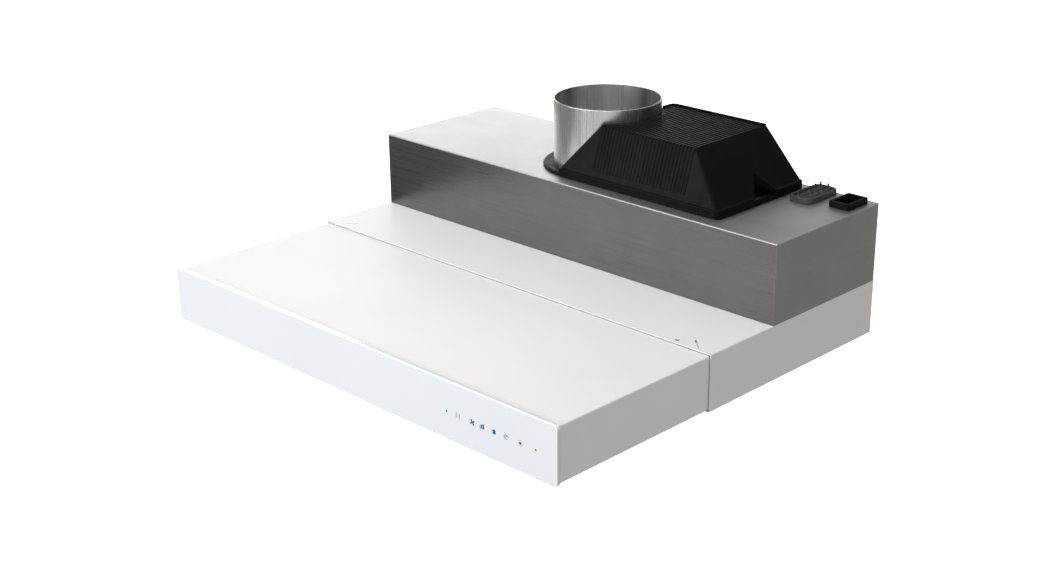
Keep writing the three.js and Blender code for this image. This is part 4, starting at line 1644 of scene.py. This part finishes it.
# ------------------------------------------------------------------ grease filters
@dataclass
class GreaseFilter:
    """A grease filter: a folded frame with a finger pocket and four layers of expanded metal; its grip comes
    with the small parts.

    Args:
        side: Left or right, as in the nodes' names.
        bars: Width of the frame at left, right, front and back.
        diamond: Length and width of a mesh opening.
        strand: Half the width and half the height of a strand.
        layers: Heights of the layers' middles above the mesh's underside.
    """

    side: str
    bars: tuple[float, float, float, float] = (12.0, 12.0, 24.0, 12.0)
    diamond: tuple[float, float] = (9.0, 4.6)
    strand: tuple[float, float] = (0.45, 0.3)
    layers: tuple[float, ...] = (0.5, 1.5, 2.5, 3.5)

    def build(self) -> None:
        """Builds the frame and the mesh."""
        self.frame_ring()
        self.mesh()

    def frame_ring(self) -> None:
        """Carries the folded section round the frame, and cuts the finger pocket and the rod's bore."""
        node = f"filter_frame_{self.side}"
        box = Box.of(node)
        low, top = box.lo[2], box.hi[2]
        corners = [
            (0, low, 0.6), (0, top, 0.6), (0.75, top, 0.2), (0.78, top - 0.5, 0.2), (0.96, top - 0.5, 0.2),
            (1, top - 1.0, 0.2), (1, low + 1.0, 0.2), (0.96, low + 0.5, 0.2), (0.78, low + 0.5, 0.2),
            (0.75, low, 0.2),
        ]
        table = [(share * min(self.bars), height, radius) for share, height, radius in corners]
        profile = rounded_line(table[::-1], steps=2)
        share = profile[:, 0] / min(self.bars)
        left, right, front, back = self.bars
        levels = np.stack([
            box.lo[0] + left * share, box.hi[0] - right * share, box.lo[1] + front * share,
            box.hi[1] - back * share, 2.0 - 1.4 * share, profile[:, 1],
        ], axis=1)
        piece = new_piece(f"filter_cassette_{self.side}", ring_skin(rectangle_rings(levels), Ends.JOINED))
        x = box.middle[0]
        pocket = prism(bar(x - 28, x + 28, box.lo[1] + 5.5, box.lo[1] + 19.5), low - 1, top - 3)
        rod = Box.of("filter_hinge_rod").middle
        profile = np.array([[1.8, box.lo[0] - 1], [1.8, box.hi[0] + 1]])
        bore = ring_skin(circle_rings(profile, rod[1], rod[2], 16), Ends.CAPPED).facing_right()
        cut_away(piece, [pocket, bore])
        shade(piece)
        mount(piece, ALUMINIUM, node)

    def mesh(self) -> None:
        """Layers of zigzag strands that meet at their peaks and leave diamond openings."""
        node = f"filter_mesh_{self.side}"
        box = Box.of(node)
        length, width = self.diamond
        half, thick = self.strand
        count = int((box.size[0] - 1) // (length / 2))
        rows = int((box.size[1] - 1) // width)
        step = np.arange(count + 1)
        row = np.arange(rows)
        x = box.middle[0] + (step - count / 2) * length / 2
        tilt = np.where((step[None] + row[:, None]) % 2 == 0, 0.5, -0.5) * (width - half)
        y = box.middle[1] + (row[:, None] - (rows - 1) / 2) * width + tilt
        section = np.array([[-half, -thick], [half, -thick], [half, thick], [-half, thick]])
        skins = []
        for number, height in enumerate(self.layers):
            shift = (number % 2) * length / 4
            points = np.zeros((rows, count + 1, 4, 3))
            points[..., 0] = x[None, :, None] + shift - length / 8
            points[..., 1] = y[..., None] + section[:, 0]
            points[..., 2] = box.lo[2] + height + section[:, 1]
            strand_faces = grid_faces(count + 1, 4, False, True)
            ends = np.array([[3, 2, 1, 0], count * 4 + np.arange(4)])
            faces = np.concatenate([strand_faces, ends])
            offsets = np.arange(rows)[:, None, None] * (count + 1) * 4
            skins.append(Skin(points.reshape(-1, 3), (faces + offsets).reshape(-1, 4).tolist()))
        mesh = mesh_of(joined(skins), f"expanded_metal_{self.side}")
        piece = object_of(mesh, f"expanded_metal_{self.side}")
        mount(piece, ALUMINIUM, node)


# ------------------------------------------------------------------ lamp
@dataclass
class Lamp:
    """The opal strip under the drawer.

    Args:
        corner: Radius of the lens's corners.
        edge: Radius of its lower edge.
    """

    corner: float = 1.5
    edge: float = 0.9

    def build(self) -> None:
        """Builds the lens: a rounded slab with a soft lower edge."""
        box = Box.of("lamp_lens")
        outline = (box.lo[0], box.hi[0], box.lo[1], box.hi[1], self.corner)
        corners = [(2, box.lo[2], 1), (0, box.lo[2], self.edge), (0, box.hi[2], 0.2), (2, box.hi[2], 1)]
        profile = rounded_line(corners, closed=False, steps=5)
        skin = ring_skin(rectangle_rings(inset_levels(outline, profile)), Ends.CAPPED)
        mount(new_piece("lamp_diffuser", skin), LENS, "lamp_lens")


# ------------------------------------------------------------------ everything else
@dataclass
class SmallParts:
    """The plain pieces: each keeps its node's shape, with its edges eased.

    Args:
        eased: Node, finish and how far its edges are eased.
        windowed: The sheet with windows through it.
    """

    eased: tuple[tuple[str, Finish, float], ...] = (
        ("back_panel", ZINC_SHEET, 0.15), ("bay_partition", ZINC_SHEET, 0.15),
        ("intake_frame", ZINC_SHEET, 0.15),
        ("rail_left", ZINC_SHEET, 0.25), ("rail_right", ZINC_SHEET, 0.25), ("front_carrier", ZINC_SHEET, 0.2),
        ("runner_left", WHITE_PLASTIC, 0.8), ("runner_right", WHITE_PLASTIC, 0.8),
        ("filter_grip_left", BLACK_PLASTIC, 0.6), ("filter_grip_right", BLACK_PLASTIC, 0.6),
        ("filter_magnet_left", GREY_RUBBER, 0.4), ("filter_magnet_right", GREY_RUBBER, 0.4),
        ("glass_gasket", BLACK_RUBBER, 0.2), ("lamp_housing", WHITE_PLASTIC, 0.3),
        ("actuator_bracket", ZINC_SHEET, 0.2), ("power_supply", BLACK_PLASTIC, 1.0),
        ("relay_block", WHITE_PLASTIC, 0.5), ("terminal_block", GREY_RUBBER, 0.4),
    )
    windowed: str = "intake_frame"

    def build(self) -> None:
        """Eases the listed nodes and dresses every node that still shows."""
        for node, finish, edge in self.eased:
            FoldedSheet(node, f"{node}_eased", finish, (), edge, edge, node == self.windowed).build()
        by_slot = {
            finish.slot: finish
            for finish in (
                WHITE_PAINT, BODY_STEEL, BRIGHT_STEEL, ZINC_SHEET, ALUMINIUM, BLACK_PLASTIC, GREY_RUBBER,
                BLACK_RUBBER, WHITE_PLASTIC, WHITE_GLASS, LENS, BOARD, BRASS,
            )
        }
        slots = {part["node"]: part["material_slot"] for part in frame["record"]["subparts"]}
        for name, node in frame["nodes"].items():
            finish = by_slot[slots[name]]
            node.data.materials.clear()
            node.data.materials.append(finish.material())
            if not node.hide_render:
                log.info("%s: kept, %s", name, finish.name)


# ------------------------------------------------------------------ studio
@dataclass
class SoftBox:
    """A rectangular soft light.

    Args:
        name: Its name.
        place: Where it stands, in metres.
        aim: The point that it faces.
        size: Width and height in metres.
        power: In watts.
    """

    name: str
    place: tuple[float, float, float]
    aim: tuple[float, float, float]
    size: tuple[float, float]
    power: float

    def build(self) -> None:
        """Hangs the light; the camera doesn't see it."""
        lamp = bpy.data.lights.new(self.name, "AREA")
        lamp.shape = "RECTANGLE"
        lamp.size, lamp.size_y = self.size
        lamp.energy = self.power
        light = bpy.data.objects.new(self.name, lamp)
        bpy.context.scene.collection.objects.link(light)
        light.location = self.place
        light.rotation_euler = (Vector(self.aim) - Vector(self.place)).to_track_quat("-Z", "Y").to_euler()
        light.visible_camera = False


@dataclass
class Studio:
    """Camera, floor, sky and lights.

    Args:
        eye: Where the camera stands, in metres.
        yaw: Its heading, anticlockwise from straight towards the back.
        pitch: How far it looks down.
        roll: How far it is turned about its own axis.
        lens: Focal length on a 36 mm sensor.
        floor_drop: How far the floor lies below the hood, so that the filters can hang open.
        floor_glow: The floor's own light.
    """

    eye: tuple[float, float, float] = (1.2116, -1.2122, 0.7102)
    yaw: float = 44.67
    pitch: float = 21.19
    roll: float = -0.468
    lens: float = 55.73
    floor_drop: float = 0.11
    floor_glow: float = 0.85
    lights: tuple[SoftBox, ...] = (
        SoftBox("overhead", (0.0, -0.65, 2.0), (0, -0.05, 0.1), (2.0, 1.6), 27.5),
        SoftBox("front_left", (-1.2, -2.5, 0.7), (-0.1, -0.1, 0.05), (3.0, 1.3), 66.0),
        SoftBox("behind_left", (-2.1, 1.35, 0.55), (-0.2, 0.1, 0.15), (2.0, 1.2), 16.5),
    )

    def camera(self) -> None:
        """Sets up the camera from its yaw, pitch and roll."""
        yaw, pitch, roll = (math.radians(angle) for angle in (-self.yaw, self.pitch, self.roll))
        forward = Vector((math.sin(yaw) * math.cos(pitch), math.cos(yaw) * math.cos(pitch), -math.sin(pitch)))
        right = Vector((math.cos(yaw), -math.sin(yaw), 0))
        up = right.cross(forward)
        side = right * math.cos(roll) + up * math.sin(roll)
        head = up * math.cos(roll) - right * math.sin(roll)
        data = bpy.data.cameras.new("camera")
        data.lens = self.lens
        data.sensor_width = 36.0
        data.clip_start = 0.01
        camera = bpy.data.objects.new("camera", data)
        bpy.context.scene.collection.objects.link(camera)
        turn = Matrix((side, head, -forward)).transposed()
        camera.matrix_world = Matrix.Translation(self.eye) @ turn.to_4x4()
        bpy.context.scene.camera = camera

    def floor(self) -> None:
        """A pale floor that is clear from below; only the camera sees it."""
        line = np.linspace(-6.0, 6.0, 13) / MM
        x, y = np.meshgrid(line, line, indexing="xy")
        points = np.stack([x, y, np.full(x.shape, -self.floor_drop / MM)], axis=-1).reshape(-1, 3)
        mesh = mesh_of(Skin(points, grid_faces(13, 13, False, False).tolist()), "floor")
        floor = object_of(mesh, "floor")
        recipe = Recipe("pale_floor")
        recipe.tones(recipe.grain((1, 1, 1), 1), (0.86, 0.86, 0.86), (0.88, 0.88, 0.88))
        recipe.set(Roughness=0.9, Specular_IOR_Level=0.0, Emission_Strength=self.floor_glow)
        recipe.set(Emission_Color=(1, 1, 1, 1))
        clear = recipe.add("ShaderNodeBsdfTransparent")
        side = recipe.add("ShaderNodeNewGeometry")
        choice = recipe.add("ShaderNodeMixShader")
        recipe.tree.links.new(side.outputs["Backfacing"], choice.inputs[0])
        recipe.tree.links.new(recipe.shader.outputs["BSDF"], choice.inputs[1])
        recipe.tree.links.new(clear.outputs["BSDF"], choice.inputs[2])
        output = next(node for node in recipe.tree.nodes if node.type == "OUTPUT_MATERIAL")
        recipe.tree.links.new(choice.outputs["Shader"], output.inputs["Surface"])
        mesh.materials.append(recipe.material)
        floor.visible_diffuse = False
        floor.visible_glossy = False
        floor.visible_transmission = False
        floor.visible_shadow = False

    def sky(self) -> None:
        """Soft light from all round: brighter above, darker below and at the left."""
        world = bpy.data.worlds.new("studio")
        world.use_nodes = True
        bpy.context.scene.world = world
        tree = world.node_tree
        tree.nodes.clear()
        place = tree.nodes.new("ShaderNodeTexCoord")
        split = tree.nodes.new("ShaderNodeSeparateXYZ")
        tree.links.new(place.outputs["Generated"], split.inputs[0])
        below = self.spread(tree, split.outputs["X"], -0.6, 0.8, 0.2, 0.58)
        above = self.spread(tree, split.outputs["X"], -1.0, 1.0, 0.40, 0.36)
        height = self.spread(tree, split.outputs["Z"], -0.08, 0.12, 0.0, 1.0)
        mix = tree.nodes.new("ShaderNodeMix")
        tree.links.new(height, mix.inputs[0])
        tree.links.new(below, mix.inputs[2])
        tree.links.new(above, mix.inputs[3])
        ground = tree.nodes.new("ShaderNodeBackground")
        tree.links.new(mix.outputs[0], ground.inputs["Strength"])
        white = tree.nodes.new("ShaderNodeBackground")
        path = tree.nodes.new("ShaderNodeLightPath")
        choice = tree.nodes.new("ShaderNodeMixShader")
        tree.links.new(path.outputs["Is Camera Ray"], choice.inputs[0])
        tree.links.new(ground.outputs[0], choice.inputs[1])
        tree.links.new(white.outputs[0], choice.inputs[2])
        ground.inputs["Color"].default_value = (1.0, 1.0, 1.0, 1.0)
        white.inputs["Color"].default_value = (1.0, 1.0, 1.0, 1.0)
        white.inputs["Strength"].default_value = 1.05
        output = tree.nodes.new("ShaderNodeOutputWorld")
        tree.links.new(choice.outputs[0], output.inputs["Surface"])

    def spread(
        self, tree: bpy.types.NodeTree, value: bpy.types.NodeSocket,
        low: float, high: float, first: float, last: float,
    ) -> bpy.types.NodeSocket:
        """The value spread so that low to high becomes first to last.

        Args:
            tree: The world's nodes.
            value: What is spread.
            low: Value that becomes first.
            high: Value that becomes last.
            first: Result at low.
            last: Result at high.

        Returns:
            The result's socket.
        """
        node = tree.nodes.new("ShaderNodeMapRange")
        node.interpolation_type = "SMOOTHSTEP"
        for name, number in (("From Min", low), ("From Max", high), ("To Min", first), ("To Max", last)):
            node.inputs[name].default_value = number
        tree.links.new(value, node.inputs["Value"])
        return node.outputs[0]

    def build(self) -> None:
        """Builds it all, and shows tones as they are."""
        self.camera()
        self.floor()
        self.sky()
        for light in self.lights:
            light.build()
        bpy.context.scene.view_settings.view_transform = "Standard"


# ------------------------------------------------------------------ the hood
def main() -> None:
    logging.basicConfig(level=logging.INFO, format="%(name)s %(message)s")
    Studio().build()
    FoldedSheet("rear_shell", "rear_shell_sheet", WHITE_PAINT, LENGTHWISE, 1.4).build()
    FoldedSheet("drawer_shell", "drawer_sheet", WHITE_PAINT, LENGTHWISE, 1.4).build()
    FoldedSheet("drawer_pan", "drawer_pan_sheet", WHITE_PAINT, TRAY_FOLDS, 1.2).build()
    FoldedSheet("plenum_box", "plenum_sheet", BODY_STEEL, BOX_TOP_FOLDS + UPRIGHT_FOLDS, 1.2).build()
    GlassFront().build()
    DuctCollar().build()
    ActuatorCover().build()
    CableGland().build()
    PowerInlet().build()
    for side in ("left", "right"):
        GreaseFilter(side).build()
    Lamp().build()
    SmallParts().build()


if __name__ == "__main__":
    main()
